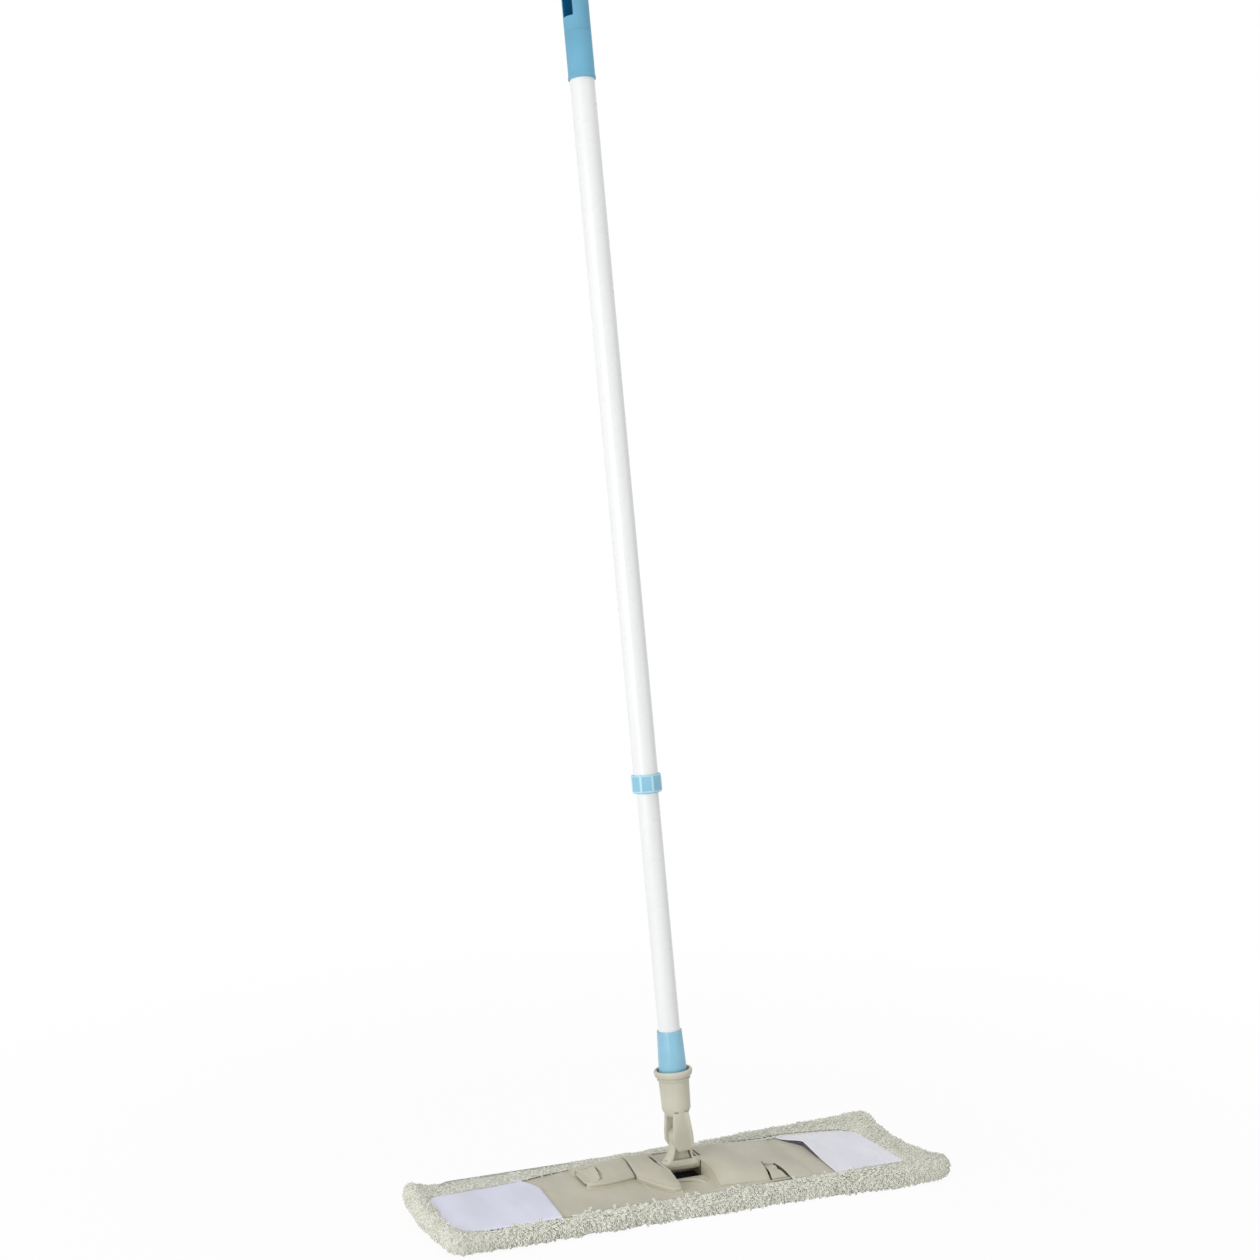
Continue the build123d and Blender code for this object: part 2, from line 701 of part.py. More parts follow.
# Ferrule on the foot of the lower tube, screwed into the socket
tube_seat_radius = lower_tube_radius + seat_clearance
tube_bore_radius = lower_tube_radius - tube_wall
shoulder_bottom = socket_step + stack_gap
ferrule_points = [
    (tube_bore_radius, spigot_bottom),
    (spigot_radius, spigot_bottom),
    (spigot_radius, shoulder_bottom),
    (ferrule_shoulder_radius, shoulder_bottom),
    (ferrule_shoulder_radius, shoulder_bottom + plug_flange),
    (ferrule_top_radius, ferrule_top),
    (tube_seat_radius, ferrule_top),
    (tube_seat_radius, lower_tube_seat),
    (tube_bore_radius, lower_tube_seat),
]
with BuildPart() as ferrule:
    revolve(outline(handle_section, ferrule_points), axis=handle_axis)
finish(ferrule, "ferrule")

with BuildPart() as lower_tube:
    tube = ring_section(tube_bore_radius, lower_tube_radius, lower_tube_seat, lower_tube_top)
    revolve(tube, axis=handle_axis)
finish(lower_tube, "lower_tube")

# Plug on top of the lower tube, a running fit in the upper tube
spigot = tube_bore_radius - seat_clearance
guide = upper_bore_radius - run_clearance
plug_top = lower_tube_top + plug_flange
plug_points = [
    (spigot - plug_wall, lower_tube_top - plug_spigot),
    (spigot, lower_tube_top - plug_spigot),
    (spigot, lower_tube_top),
    (guide, lower_tube_top),
    (guide, plug_top),
    (0, plug_top),
    (0, plug_top - plug_wall),
    (spigot - plug_wall, plug_top - plug_wall),
]
with BuildPart() as guide_plug:
    revolve(outline(handle_section, plug_points), axis=handle_axis)
finish(guide_plug, "guide_plug")

# Lock: sleeve on the end of the upper tube, split collet under it, octagonal collar around both
sleeve_points = [
    (slide_radius, sleeve_bottom),
    (sleeve_radius, sleeve_bottom),
    (sleeve_radius, sleeve_top),
    (upper_tube_radius + seat_clearance, sleeve_top),
    (upper_tube_radius + seat_clearance, upper_tube_bottom),
    (slide_radius, upper_tube_bottom),
]
with BuildPart() as lock_sleeve:
    revolve(outline(handle_section, sleeve_points), axis=handle_axis)
finish(lock_sleeve, "lock_sleeve")

with BuildPart() as lock_collet:
    collet_ring = ring_section(slide_radius, sleeve_radius, collet_bottom, collet_bottom + collet_height)
    revolve(collet_ring, axis=handle_axis)
    with BuildSketch(handle_frame.offset(collet_bottom)):
        Rectangle(2 * sleeve_radius, collet_slit, align=(Align.MIN, Align.CENTER))
    extrude(amount=collet_height, mode=Mode.SUBTRACT)
finish(lock_collet, "lock_collet")

with BuildPart() as lock_collar:
    with BuildSketch(handle_frame.offset(collar_bottom)):
        RegularPolygon(collar_flats / 2, 8, major_radius=False)
    extrude(amount=collar_height)
    bottom_edges = lock_collar.faces().sort_by(handle_axis)[0].edges()
    chamfer(bottom_edges, collar_chamfer / 2, collar_chamfer)
    cavity_radius = sleeve_radius + fit_clearance
    cavity = ring_section(0, cavity_radius, collar_bottom + collar_lip, collar_top - collar_lip)
    revolve(cavity, axis=handle_axis, mode=Mode.SUBTRACT)
    lower_mouth = ring_section(0, slide_radius + fit_clearance, collar_bottom, collar_top)
    revolve(lower_mouth, axis=handle_axis, mode=Mode.SUBTRACT)
    upper_mouth = ring_section(0, upper_tube_radius + fit_clearance, sleeve_bottom, collar_top)
    revolve(upper_mouth, axis=handle_axis, mode=Mode.SUBTRACT)
finish(lock_collar, "lock_collar")

with BuildPart() as upper_tube:
    tube = ring_section(upper_bore_radius, upper_tube_radius, upper_tube_bottom, upper_tube_top)
    revolve(tube, axis=handle_axis)
finish(upper_tube, "upper_tube")

# Grip and the cap with the hanging slot
grip_bore = upper_tube_radius + seat_clearance
lip_radius = grip_radius + grip_lip
grip_points = [
    (grip_bore, grip_bottom),
    (grip_radius, grip_bottom),
    (lip_radius, grip_bottom + grip_lip),
    (lip_radius, grip_bottom + grip_lip_height),
    (grip_radius, grip_bottom + grip_lip_height + grip_lip),
    (grip_radius, upper_tube_top),
    (grip_bore, upper_tube_top),
]
with BuildPart() as grip:
    revolve(outline(handle_section, grip_points), axis=handle_axis)
finish(grip, "grip_sleeve")

slot_turn = radians(hang_slot_turn)
slot_out = tilt_front * cos(slot_turn) - handle_out * sin(slot_turn)
slot_place = pin_place + handle_up * hang_slot_middle
with BuildPart() as cap:
    revolve(ring_section(0, grip_radius, cap_bottom, cap_bottom + cap_length), axis=handle_axis)
    fillet(cap.faces().sort_by(handle_axis)[-1].edges(), cap_round)
    cap_spigot_radius = upper_bore_radius - seat_clearance
    revolve(ring_section(0, cap_spigot_radius, cap_bottom - cap_spigot, cap_bottom), axis=handle_axis)
    with BuildSketch(Plane(origin=slot_place, x_dir=handle_up, z_dir=slot_out)):
        Rectangle(hang_slot_length, hang_slot_width)
    extrude(amount=2 * grip_radius, both=True, mode=Mode.SUBTRACT)
finish(cap, "hanging_cap")
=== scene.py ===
"""Looks of the pocket mop: loop pile, satin pockets, moulded plastic and coated tubes."""

import json
import math

import bmesh
import bpy
import numpy as np
from mathutils import Matrix, Vector, noise
from mathutils.bvhtree import BVHTree

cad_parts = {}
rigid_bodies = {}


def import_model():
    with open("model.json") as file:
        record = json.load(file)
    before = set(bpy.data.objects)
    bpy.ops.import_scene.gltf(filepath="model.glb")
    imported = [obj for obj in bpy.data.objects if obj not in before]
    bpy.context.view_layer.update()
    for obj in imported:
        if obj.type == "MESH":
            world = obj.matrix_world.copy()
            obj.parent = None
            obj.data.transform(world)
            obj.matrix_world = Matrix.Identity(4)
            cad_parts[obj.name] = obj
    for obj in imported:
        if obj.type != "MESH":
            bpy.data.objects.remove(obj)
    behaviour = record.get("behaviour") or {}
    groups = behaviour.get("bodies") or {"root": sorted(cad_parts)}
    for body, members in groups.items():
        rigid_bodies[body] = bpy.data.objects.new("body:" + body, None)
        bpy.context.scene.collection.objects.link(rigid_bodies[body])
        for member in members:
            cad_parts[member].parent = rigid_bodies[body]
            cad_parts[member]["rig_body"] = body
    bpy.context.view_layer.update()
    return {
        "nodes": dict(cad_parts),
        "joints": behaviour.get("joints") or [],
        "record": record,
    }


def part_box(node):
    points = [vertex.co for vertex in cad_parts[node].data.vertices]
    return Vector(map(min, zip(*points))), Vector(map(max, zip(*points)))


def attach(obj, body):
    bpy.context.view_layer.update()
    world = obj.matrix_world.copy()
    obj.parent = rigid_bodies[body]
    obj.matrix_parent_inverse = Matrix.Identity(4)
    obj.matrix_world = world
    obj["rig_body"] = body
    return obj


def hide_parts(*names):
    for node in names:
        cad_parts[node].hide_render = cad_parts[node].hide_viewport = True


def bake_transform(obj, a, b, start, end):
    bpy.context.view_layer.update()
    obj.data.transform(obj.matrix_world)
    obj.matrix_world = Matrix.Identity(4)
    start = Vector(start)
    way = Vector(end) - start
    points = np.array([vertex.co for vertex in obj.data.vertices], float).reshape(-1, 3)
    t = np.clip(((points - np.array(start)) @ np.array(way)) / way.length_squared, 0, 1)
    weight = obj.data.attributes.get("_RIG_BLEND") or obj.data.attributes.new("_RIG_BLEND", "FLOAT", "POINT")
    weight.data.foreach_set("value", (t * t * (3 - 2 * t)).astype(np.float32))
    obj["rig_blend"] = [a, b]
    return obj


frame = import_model()
nodes = frame["nodes"]
joints = {joint["name"]: joint for joint in frame["joints"]}
scene = bpy.context.scene
mm = 0.001
plate_top = 17.5 * mm

# Camera of the photograph
camera_place = Vector((-0.663, -1.437, 0.614))
camera_turn = 23.16
camera_dip = 4.12
camera_lens = 52.03
camera_sensor = 36.0

# Colours of the finishes, some of them painted shade or painted highlight, as sRGB shares
pile_pale = (0.95, 0.95, 0.905)
pile_deep = (0.85, 0.85, 0.80)
# Painted shade: near black for the backing in the well below the plate, standing for its shadow
well_painted_shade_colour = (0.07, 0.065, 0.055)
satin_colour = (0.905, 0.908, 0.975)
# Painted light: a paler copy of the satin for the right pocket, which is lit more
satin_painted_light_right_colour = (0.958, 0.958, 1.0)
# Painted shadow: dark lavender rod under the right pocket's lifted mouth
mouth_shadow_colour = (0.30, 0.28, 0.34)
thread_colour = (0.92, 0.92, 0.89)
head_colour = (0.782, 0.768, 0.698)
# Painted shade: dark wall of the slit beside the right lever
painted_slit_shade_colour = (0.30, 0.29, 0.25)
# Painted shade: darker beige on the joint slot's right wall and in the knuckle's hollows
painted_recess_shade_colour = (0.42, 0.39, 0.31)
joint_colour = (0.825, 0.813, 0.747)
blue_colour = (0.57, 0.785, 0.88)
# Painted highlight: paler blue for the rounded edges of the lock collar
painted_edge_highlight_colour = (0.72, 0.91, 0.98)
grip_colour = (0.468, 0.708, 0.82)
# Painted shade: deep teal on the walls inside the cap's hanging slot
painted_cap_slot_shade_colour = (0.01, 0.49, 0.685)
tube_colour = (0.97, 0.975, 0.975)
inner_colour = (0.80, 0.81, 0.82)
steel_colour = (0.62, 0.62, 0.63)


def linear(colour):
    """Scene-linear RGBA of an sRGB colour."""
    steps = [c / 12.92 if c <= 0.04045 else ((c + 0.055) / 1.055) ** 2.4 for c in colour]
    return (*steps, 1.0)


def shade(colour, share):
    """A colour made darker or paler by a share."""
    return tuple(min(1.0, c * share) for c in colour)


def add_node(tree, kind, inputs=None, **settings):
    """A node with its settings; an input is linked where its value comes from another node."""
    node = tree.nodes.new(kind)
    for setting, value in settings.items():
        setattr(node, setting, value)
    for socket, value in (inputs or {}).items():
        if isinstance(value, bpy.types.NodeSocket):
            tree.links.new(value, node.inputs[socket])
        else:
            node.inputs[socket].default_value = value
    return node


class Finish:
    """A material with one Principled shader, and short ways to add the nodes of its detail."""

    def __init__(self, name, roughness, **sockets):
        self.material = bpy.data.materials.new(name)
        self.material.use_nodes = True
        self.tree = self.material.node_tree
        self.shader = self.tree.nodes["Principled BSDF"]
        self.shader.inputs["Roughness"].default_value = roughness
        for socket, value in sockets.items():
            self.shader.inputs[socket.replace("_", " ")].default_value = value
        self.place = self.add("ShaderNodeTexCoord").outputs["Object"]

    def add(self, kind, inputs=None, **settings):
        return add_node(self.tree, kind, inputs, **settings)

    def attribute(self, name):
        """Values of an attribute of the mesh."""
        return self.add("ShaderNodeAttribute", attribute_name=name).outputs["Fac"]

    def noise(self, scale, detail=2, stretch=None):
        """Noise with a pattern of about 1/scale metres, stretched along an axis where asked."""
        source = self.place
        if stretch:
            mapping = self.add("ShaderNodeMapping", {"Scale": stretch, "Vector": source})
            source = mapping.outputs["Vector"]
        inputs = {"Scale": scale, "Detail": detail, "Vector": source}
        return self.add("ShaderNodeTexNoise", inputs).outputs["Fac"]

    def ramp(self, fac, low, high, start=0.35, end=0.65):
        """Colours between two, spread over the middle of a pattern."""
        ramp = self.add("ShaderNodeValToRGB", {"Fac": fac})
        first, last = ramp.color_ramp.elements
        first.position = start
        first.color = linear(low)
        last.position = end
        last.color = linear(high)
        return ramp.outputs["Color"]

    def spread(self, fac, low, high, start=0.3, end=0.7):
        """A pattern's values brought into a range."""
        inputs = {"Value": fac, "From Min": start, "From Max": end, "To Min": low, "To Max": high}
        return self.add("ShaderNodeMapRange", inputs).outputs["Result"]

    def bump(self, fac, depth, under=None):
        """Relief of a depth in metres, over another relief where given."""
        inputs = {"Height": fac, "Distance": depth}
        if under:
            inputs["Normal"] = under
        return self.add("ShaderNodeBump", inputs).outputs["Normal"]

    def feed(self, socket, out):
        """Link a pattern to a socket of the shader."""
        self.tree.links.new(out, self.shader.inputs[socket])

    def colour(self, out):
        self.feed("Base Color", out)

    def roughness(self, out):
        self.feed("Roughness", out)

    def normal(self, out):
        self.feed("Normal", out)


def moulded_plastic(name, colour, roughness, coat=0.0, gloss=0.5):
    """Moulded plastic: faint flow marks, a fine spark-eroded grain and slightly uneven gloss."""
    finish = Finish(
        name, roughness, Coat_Weight=coat, Coat_Roughness=0.2, Specular_IOR_Level=gloss
    )
    flow = finish.noise(28, detail=3, stretch=(1.0, 0.6, 1.0))
    finish.colour(finish.ramp(flow, shade(colour, 0.965), shade(colour, 1.025)))
    sheen = finish.noise(160, detail=3)
    finish.roughness(finish.spread(sheen, roughness - 0.06, roughness + 0.08))
    waves = finish.bump(finish.noise(45, detail=1), depth=0.12 * mm)
    finish.normal(finish.bump(finish.noise(2600), depth=0.012 * mm, under=waves))
    return finish.material


def coated_tube(name):
    """White gloss coat on a drawn tube: orange peel and faint lengthwise unevenness."""
    finish = Finish(name, 0.3, Coat_Weight=0.12, Coat_Roughness=0.15)
    streak = finish.noise(90, stretch=(1.0, 1.0, 0.03))
    finish.colour(finish.ramp(streak, shade(tube_colour, 0.985), tube_colour))
    finish.roughness(finish.spread(finish.noise(70), 0.24, 0.36))
    finish.normal(finish.bump(finish.noise(420, detail=1), depth=0.003 * mm))
    return finish.material


def loop_pile(name):
    """Microfibre yarn: each loop a little paler or deeper, with fuzzy fibres along it."""
    finish = Finish(name, 0.95, Sheen_Weight=0.3, Sheen_Roughness=0.6)
    tones = {0: finish.attribute("tuft"), 1: finish.noise(60)}
    mixed = finish.add("ShaderNodeMath", tones, operation="ADD").outputs["Value"]
    finish.colour(finish.ramp(mixed, pile_deep, pile_pale, start=0.35, end=1.25))
    fibres = finish.bump(finish.noise(900, detail=3), depth=0.25 * mm)
    finish.normal(finish.bump(finish.noise(3200), depth=0.08 * mm, under=fibres))
    return finish.material


def pile_backing(name):
    """Ground of the pile between the loops, with painted shade: near black in the well below the plate."""
    finish = Finish(name, 0.97, Specular_IOR_Level=0.2)
    ground = finish.ramp(finish.noise(420, detail=3), shade(pile_deep, 0.92), pile_pale)
    layers = {"Factor": finish.attribute("well"), "A": ground, "B": linear(well_painted_shade_colour)}
    cover = finish.add("ShaderNodeMix", layers, data_type="RGBA")
    finish.colour(cover.outputs["Result"])
    finish.normal(finish.bump(finish.noise(700, detail=3), depth=0.8 * mm))
    return finish.material


def satin_cloth(name, colour):
    """Pale satin: threads both ways on the cloth's own map, and soft pulled shading."""
    finish = Finish(name, 0.46, Sheen_Weight=0.25, Sheen_Roughness=0.35)
    cloth = finish.add("ShaderNodeUVMap").outputs["UV"]
    flow = finish.noise(34, stretch=(1.0, 0.35, 1.0))
    finish.colour(finish.ramp(flow, shade(colour, 0.97), shade(colour, 1.02)))
    relief = None
    for direction, count, depth in (("X", 190.0, 0.02 * mm), ("Y", 260.0, 0.015 * mm)):
        inputs = {"Vector": cloth, "Scale": count / 6.283, "Distortion": 0.4}
        threads = finish.add("ShaderNodeTexWave", inputs, bands_direction=direction)
        relief = finish.bump(threads.outputs["Fac"], depth, relief)
    finish.normal(finish.bump(finish.noise(120), depth=0.15 * mm, under=relief))
    finish.roughness(finish.spread(finish.noise(260), 0.4, 0.54))
    return finish.material


def plain_steel(name):
    """Drawn steel with fine lines along it."""
    finish = Finish(name, 0.35, Metallic=1.0)
    lines = finish.noise(900, stretch=(1.0, 0.05, 1.0))
    finish.colour(finish.ramp(lines, shade(steel_colour, 0.9), shade(steel_colour, 1.05)))
    finish.roughness(finish.spread(lines, 0.28, 0.42))
    return finish.material


def stitch_thread(name):
    """Twisted sewing thread."""
    finish = Finish(name, 0.8, Sheen_Weight=0.2)
    twist = finish.noise(1500)
    finish.colour(finish.ramp(twist, shade(thread_colour, 0.9), thread_colour))
    finish.normal(finish.bump(twist, depth=0.1 * mm))
    return finish.material


head_plastic = moulded_plastic("head_plastic", head_colour, 0.5)
joint_plastic = moulded_plastic("joint_plastic", joint_colour, 0.48)
blue_plastic = moulded_plastic("blue_plastic", blue_colour, 0.36, coat=0.15)
grip_plastic = moulded_plastic("grip_plastic", grip_colour, 0.45, gloss=0.1)
inner_plastic = moulded_plastic("inner_plastic", inner_colour, 0.55)
painted_slit_shade = moulded_plastic("painted_slit_shade", painted_slit_shade_colour, 0.6)
painted_recess_shade = moulded_plastic("painted_recess_shade", painted_recess_shade_colour, 0.6)
painted_cap_slot_shade = moulded_plastic("painted_cap_slot_shade", painted_cap_slot_shade_colour, 0.6, gloss=0.1)
blue_painted_edge_highlight = moulded_plastic("blue_painted_edge_highlight", painted_edge_highlight_colour, 0.3, coat=0.15)
white_tube = coated_tube("white_tube")
pile = loop_pile("pile")
backing = pile_backing("pile_backing")
satin = satin_cloth("satin", satin_colour)
# The right pocket's satin is a paler, lit copy of the same cloth
satin_painted_light_right = satin_cloth("satin_painted_light_right", satin_painted_light_right_colour)
painted_mouth_shadow = satin_cloth("painted_mouth_shadow", mouth_shadow_colour)
steel = plain_steel("steel")
thread = stitch_thread("thread")

finish_of_slot = {
    "pile": pile,
    "satin": satin,
    "head_plastic": head_plastic,
    "joint_plastic": joint_plastic,
    "blue_plastic": blue_plastic,
    "white_tube": white_tube,
    "steel": steel,
    "inner_plastic": inner_plastic,
}
slot_of_node = {part["node"]: part["material_slot"] for part in frame["record"]["subparts"]}
for name, node in nodes.items():
    node.data.materials.clear()
    node.data.materials.append(finish_of_slot[slot_of_node[name]])


def fade(value):
    """Smooth step from 0 to 1."""
    value = min(max(value, 0.0), 1.0)
    return value * value * (3 - 2 * value)


def along(points, place):
    """Value between the points of a short list of (place, value)."""
    return float(np.interp(place, [p for p, _ in points], [v for _, v in points]))


def within(value, span):
    return span[0] < value < span[1]


def steps_between(start, end, steps):
    """Evenly spaced values from one to another, both included."""
    return [start + (end - start) * step / steps for step in range(steps + 1)]


def metres(points):
    """Places given in mm."""
    return [Vector(point) * mm for point in points]


def whole(bm):
    return list(bm.verts) + list(bm.edges) + list(bm.faces)


def of_kind(made, kind):
    """The vertices or edges among what an operator made."""
    return [item for item in made if isinstance(item, kind)]


def link_piece(name, mesh, *materials):
    """An object at the origin for a finished mesh."""
    piece = bpy.data.objects.new(name, mesh)
    scene.collection.objects.link(piece)
    # Clearing resets the finish of each face, so it is left out where there is nothing to clear
    if len(mesh.materials):
        mesh.materials.clear()
    for material in materials:
        mesh.materials.append(material)
    return piece


def mesh_of(bm, name, sharp=None):
    """Mesh of a bmesh, smooth except at edges sharper than an angle in degrees."""
    mesh = bpy.data.meshes.new(name)
    bm.to_mesh(mesh)
    bm.free()
    mesh.shade_smooth()
    if sharp:
        mesh.set_sharp_from_angle(angle=math.radians(sharp))
    return mesh


def stand_for(piece, slot, body, *stood):
    """Let a piece ride on a body and stand for CAD nodes."""
    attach(piece, body)
    if stood:
        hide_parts(*stood)


def stand_for_node(piece, node):
    """Let a piece stand for one CAD node, on its body."""
    stand_for(piece, slot_of_node[node], nodes[node]["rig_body"], node)


# Frame of the handle: the axis of the telescope, from the pin of the swing
handle_up = Vector(joints["telescope"]["axis"])
handle_back = Vector(joints["swing"]["axis"])
handle_out = handle_back.cross(handle_up)
handle_frame = Matrix((handle_out, handle_back, handle_up)).transposed().to_4x4()
handle_frame.translation = Vector(joints["swing"]["pos_m"])
handle_home = handle_frame.inverted()


def handle_span(node):
    """Bottom, top and greatest radius of a node about the handle's axis."""
    points = [handle_home @ vertex.co for vertex in nodes[node].data.vertices]
    heights = [point.z for point in points]
    return min(heights), max(heights), max(math.hypot(point.x, point.y) for point in points)


# Mouldings with softened edges: merging, and the angles of flat faces and of edges to round
weld = 2e-6
cut_weld = 1e-6
flat_angle = math.radians(0.6)
edge_angle = math.radians(28)
touch = 0.1 * mm
near = 0.2 * mm

# Folds and the seam of the grip, which hardly show
hinge_x = abs(joints["fold_right"]["pos_m"][0])
housing_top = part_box("carrier")[1].z
seam_reach = 2.2 * mm
fold_edge = 1.2 * mm
seam_gap = 0.25 * mm
grip_rise = 0.25 * mm
grip_top = handle_span("grip_sleeve")[1]

# Slot in the cap, by depth below its top, and the thickness of the skin round it
cap_top, cap_radius = handle_span("hanging_cap")[1:]
cap_slot = (38 * mm, 72 * mm)
cap_skin = 0.4 * mm

# Straight lines of the front feet of the left housing and cheek, and how far they bow, by x, in mm
tongue_foot = ((-91.0, -9.9), (-44.0, -9.9))
tongue_bow = ((-91.0, 2.4), (-86.0, 1.0), (-80.0, 0.0), (-70.0, 0.4), (-56.0, 2.6), (-44.0, 5.2))
cheek_foot = ((-44.5, -9.9), (-18.0, -46.6))
cheek_bow = (
    (-45.0, 2.0), (-40.0, -2.0), (-35.0, -6.5), (-30.0, -9.5), (-25.0, -9.0), (-22.0, -5.0),
    (-17.0, 0.0),
)
tongue_span = (-90.5 * mm, -45.0 * mm)
cheek_span = (-43.5 * mm, -18.5 * mm)
bow_steps = 12
front_wall = 3.6 * mm
foot_slack = 0.6 * mm

# Joint slot: half its width, and where the painted shade on its right wall begins
slot_half = 18.0 * mm
slot_slack = 0.3 * mm
wall_shade = -6.0 * mm

# Right lever: how far the slits beside it are moved along X, by y, and their places, in mm
left_slit = ((-51.0, -1.8), (-41.0, -0.2), (-31.0, 1.6), (-27.0, 2.3), (-20.0, 3.5))
right_slit = ((-53.0, 0.6), (-41.0, -0.8), (-33.0, -2.2), (-27.0, -3.4))
left_slit_span = (65.3, 67.1)
right_slit_span = (82.2, 83.2)
slit_reach = (-54.0, -19.0)
slit_back = -21.0
slit_low = 16.5
slit_wall_x = (78.5, 84.2)
slit_wall_y = (-54.0, -27.0)
slit_tip = 2.7 * mm
side_low = 17.6
side_fall = 0.13

# Floor below the right lever: its front, its width at two levels, and where it is set, in mm
floor_front = -55.9
floor_span = (66.0, 82.5)
step_span = (65.4, 83.1)
step_levels = (16.0, 17.0)
press_floor = 16.05 * mm


def at_closed_fold(place):
    """Whether a place is at a fold that hardly shows: the right one, and the left one in the plate."""
    level = housing_top if place.x > 0 else plate_top
    return abs(abs(place.x) - hinge_x) < seam_reach and place.z < level + near


def rounded(piece, radius, edge_highlight_slot):
    """Round the weighted edges of a piece; the last argument is the place of their own finish, a paler one
    that paints a highlight, or -1.
    """
    rounding = piece.modifiers.new("rounding", "BEVEL")
    rounding.width = radius
    rounding.segments = 2
    rounding.limit_method = "WEIGHT"
    rounding.use_clamp_overlap = False
    rounding.harden_normals = True
    rounding.material = edge_highlight_slot


def softened(node, radius, finish=None, reshape=None, inner=None, edge_highlight_finish=None):
    """Copy of a moulded solid with rounded edges, except at closed folds.

    inner gives a test that picks faces and their finish, which paints shade on them; the last argument is a
    paler finish for the rounding, which paints a highlight.
    """
    bm = bmesh.new()
    bm.from_mesh(nodes[node].data)
    bmesh.ops.remove_doubles(bm, verts=bm.verts, dist=weld)
    bmesh.ops.dissolve_limit(bm, angle_limit=flat_angle, verts=bm.verts, edges=bm.edges)
    if reshape:
        reshape(bm)
    bm.normal_update()
    picked, painted_shade_finish = inner or (None, None)
    for face in bm.faces:
        face.material_index = int(bool(picked and picked(face)))
    weight = bm.edges.layers.float.new("bevel_weight_edge")
    for edge in bm.edges:
        if edge.calc_face_angle(0.0) > edge_angle:
            edge.smooth = radius > 0 and not any(at_closed_fold(end.co) for end in edge.verts)
            edge[weight] = float(edge.smooth)
    name = f"{node}_soft"
    others = [other for other in (painted_shade_finish, edge_highlight_finish) if other]
    main = finish or finish_of_slot[slot_of_node[node]]
    piece = link_piece(name, mesh_of(bm, name), main, *others)
    if radius > 0:
        rounded(piece, radius, len(others) if edge_highlight_finish else -1)
    stand_for_node(piece, node)


def bowed(bm, foot, bow, span):
    """Draw the front wall of a housing out or in between two x; foot gives its straight line."""
    low, high = span
    for place in steps_between(low, high, bow_steps)[1:-1]:
        bmesh.ops.bisect_plane(
            bm, geom=whole(bm), dist=cut_weld, plane_co=(place, 0, 0), plane_no=(1, 0, 0)
        )
    for vertex in bm.verts:
        x, y, z = vertex.co
        on_wall = -foot_slack < y - along(foot, x / mm) * mm < front_wall
        if on_wall and z > plate_top - touch and low - mm < x < high + mm:
            vertex.co.y += along(bow, x / mm) * mm


def closed_fold(bm, shift):
    """Bring the top edge of a wing up to the carrier, so that a fold hardly shows."""
    for vertex in bm.verts:
        if vertex.co.z > plate_top - touch and abs(abs(vertex.co.x) - hinge_x) < fold_edge:
            vertex.co.x += shift


def bowed_tongue(bm):
    """Left wing with the bowed front of its housing, closed at its fold."""
    bowed(bm, tongue_foot, tongue_bow, tongue_span)
    closed_fold(bm, seam_gap)


def faces_left(face, least):
    """Whether a face looks to the left by at least a share of its normal."""
    return face.normal.x < -least


def on_slot_wall(face):
    """Whether a face lies on the right wall of the joint slot."""
    return abs(face.calc_center_median().x - slot_half) < slot_slack and faces_left(face, 0.9)


def parted_slot_wall(bm):
    """Carrier with its left cheek bowed and the slot's right wall parted where the painted shade begins."""
    bowed(bm, cheek_foot, cheek_bow, cheek_span)
    bm.normal_update()
    wall = [face for face in bm.faces if on_slot_wall(face)]
    edges = dict.fromkeys(edge for face in wall for edge in face.edges)
    corners = dict.fromkeys(vertex for face in wall for vertex in face.verts)
    bmesh.ops.bisect_plane(
        bm,
        geom=[*corners, *edges, *wall],
        dist=cut_weld,
        plane_co=(0, wall_shade, 0),
        plane_no=(0, 1, 0),
    )


def in_joint_slot(face):
    """Whether a face is the part of the slot's right wall that takes painted shade for the shadow of barrel
    and knuckle.
    """
    return on_slot_wall(face) and face.calc_center_median().y > wall_shade


def spread_slits(bm):
    """Right wing closed at its fold, the slits of its lever drawn apart, the floor below sloped."""
    closed_fold(bm, -seam_gap)
    for vertex in bm.verts:
        x, y, z = vertex.co / mm
        if y < floor_front and within(x, floor_span) and z > step_levels[1]:
            vertex.co.z = press_floor
        elif y < floor_front and within(x, step_span) and within(z, step_levels):
            vertex.co.z = press_floor - touch
        if z < slit_low or not within(y, slit_reach):
            continue
        shift = 0.0
        if within(x, left_slit_span):
            shift = along(left_slit, y)
            vertex.co.y -= slit_tip * fade(y - slit_back)
        elif within(x, right_slit_span):
            shift = along(right_slit, y)
        vertex.co.x += shift * mm
        if z > side_low:
            vertex.co.z -= side_fall * shift * mm


def in_right_slit(face):
    """Whether a face is the wall of the slit at the right of the right lever, which takes painted shade."""
    x, y, _ = face.calc_center_median() / mm
    return within(x, slit_wall_x) and within(y, slit_wall_y) and faces_left(face, 0.7)


def in_knuckle_hollow(face):
    """Whether a face is the right wall of a hollow in the knuckle, which takes painted shade."""
    return face.calc_center_median().x > 0 and faces_left(face, 0.5)


def closed_seam(bm):
    """Grip drawn up to the cap above it, so that the seam hardly shows."""
    for vertex in bm.verts:
        if grip_top - (handle_home @ vertex.co).z < near:
            vertex.co += handle_up * grip_rise


def in_cap_slot(face):
    """Whether a face is a wall inside the hanging slot, which takes painted shade."""
    place = handle_home @ face.calc_center_median()
    below_skin = math.hypot(place.x, place.y) < cap_radius - cap_skin
    return below_skin and within(cap_top - place.z, cap_slot)


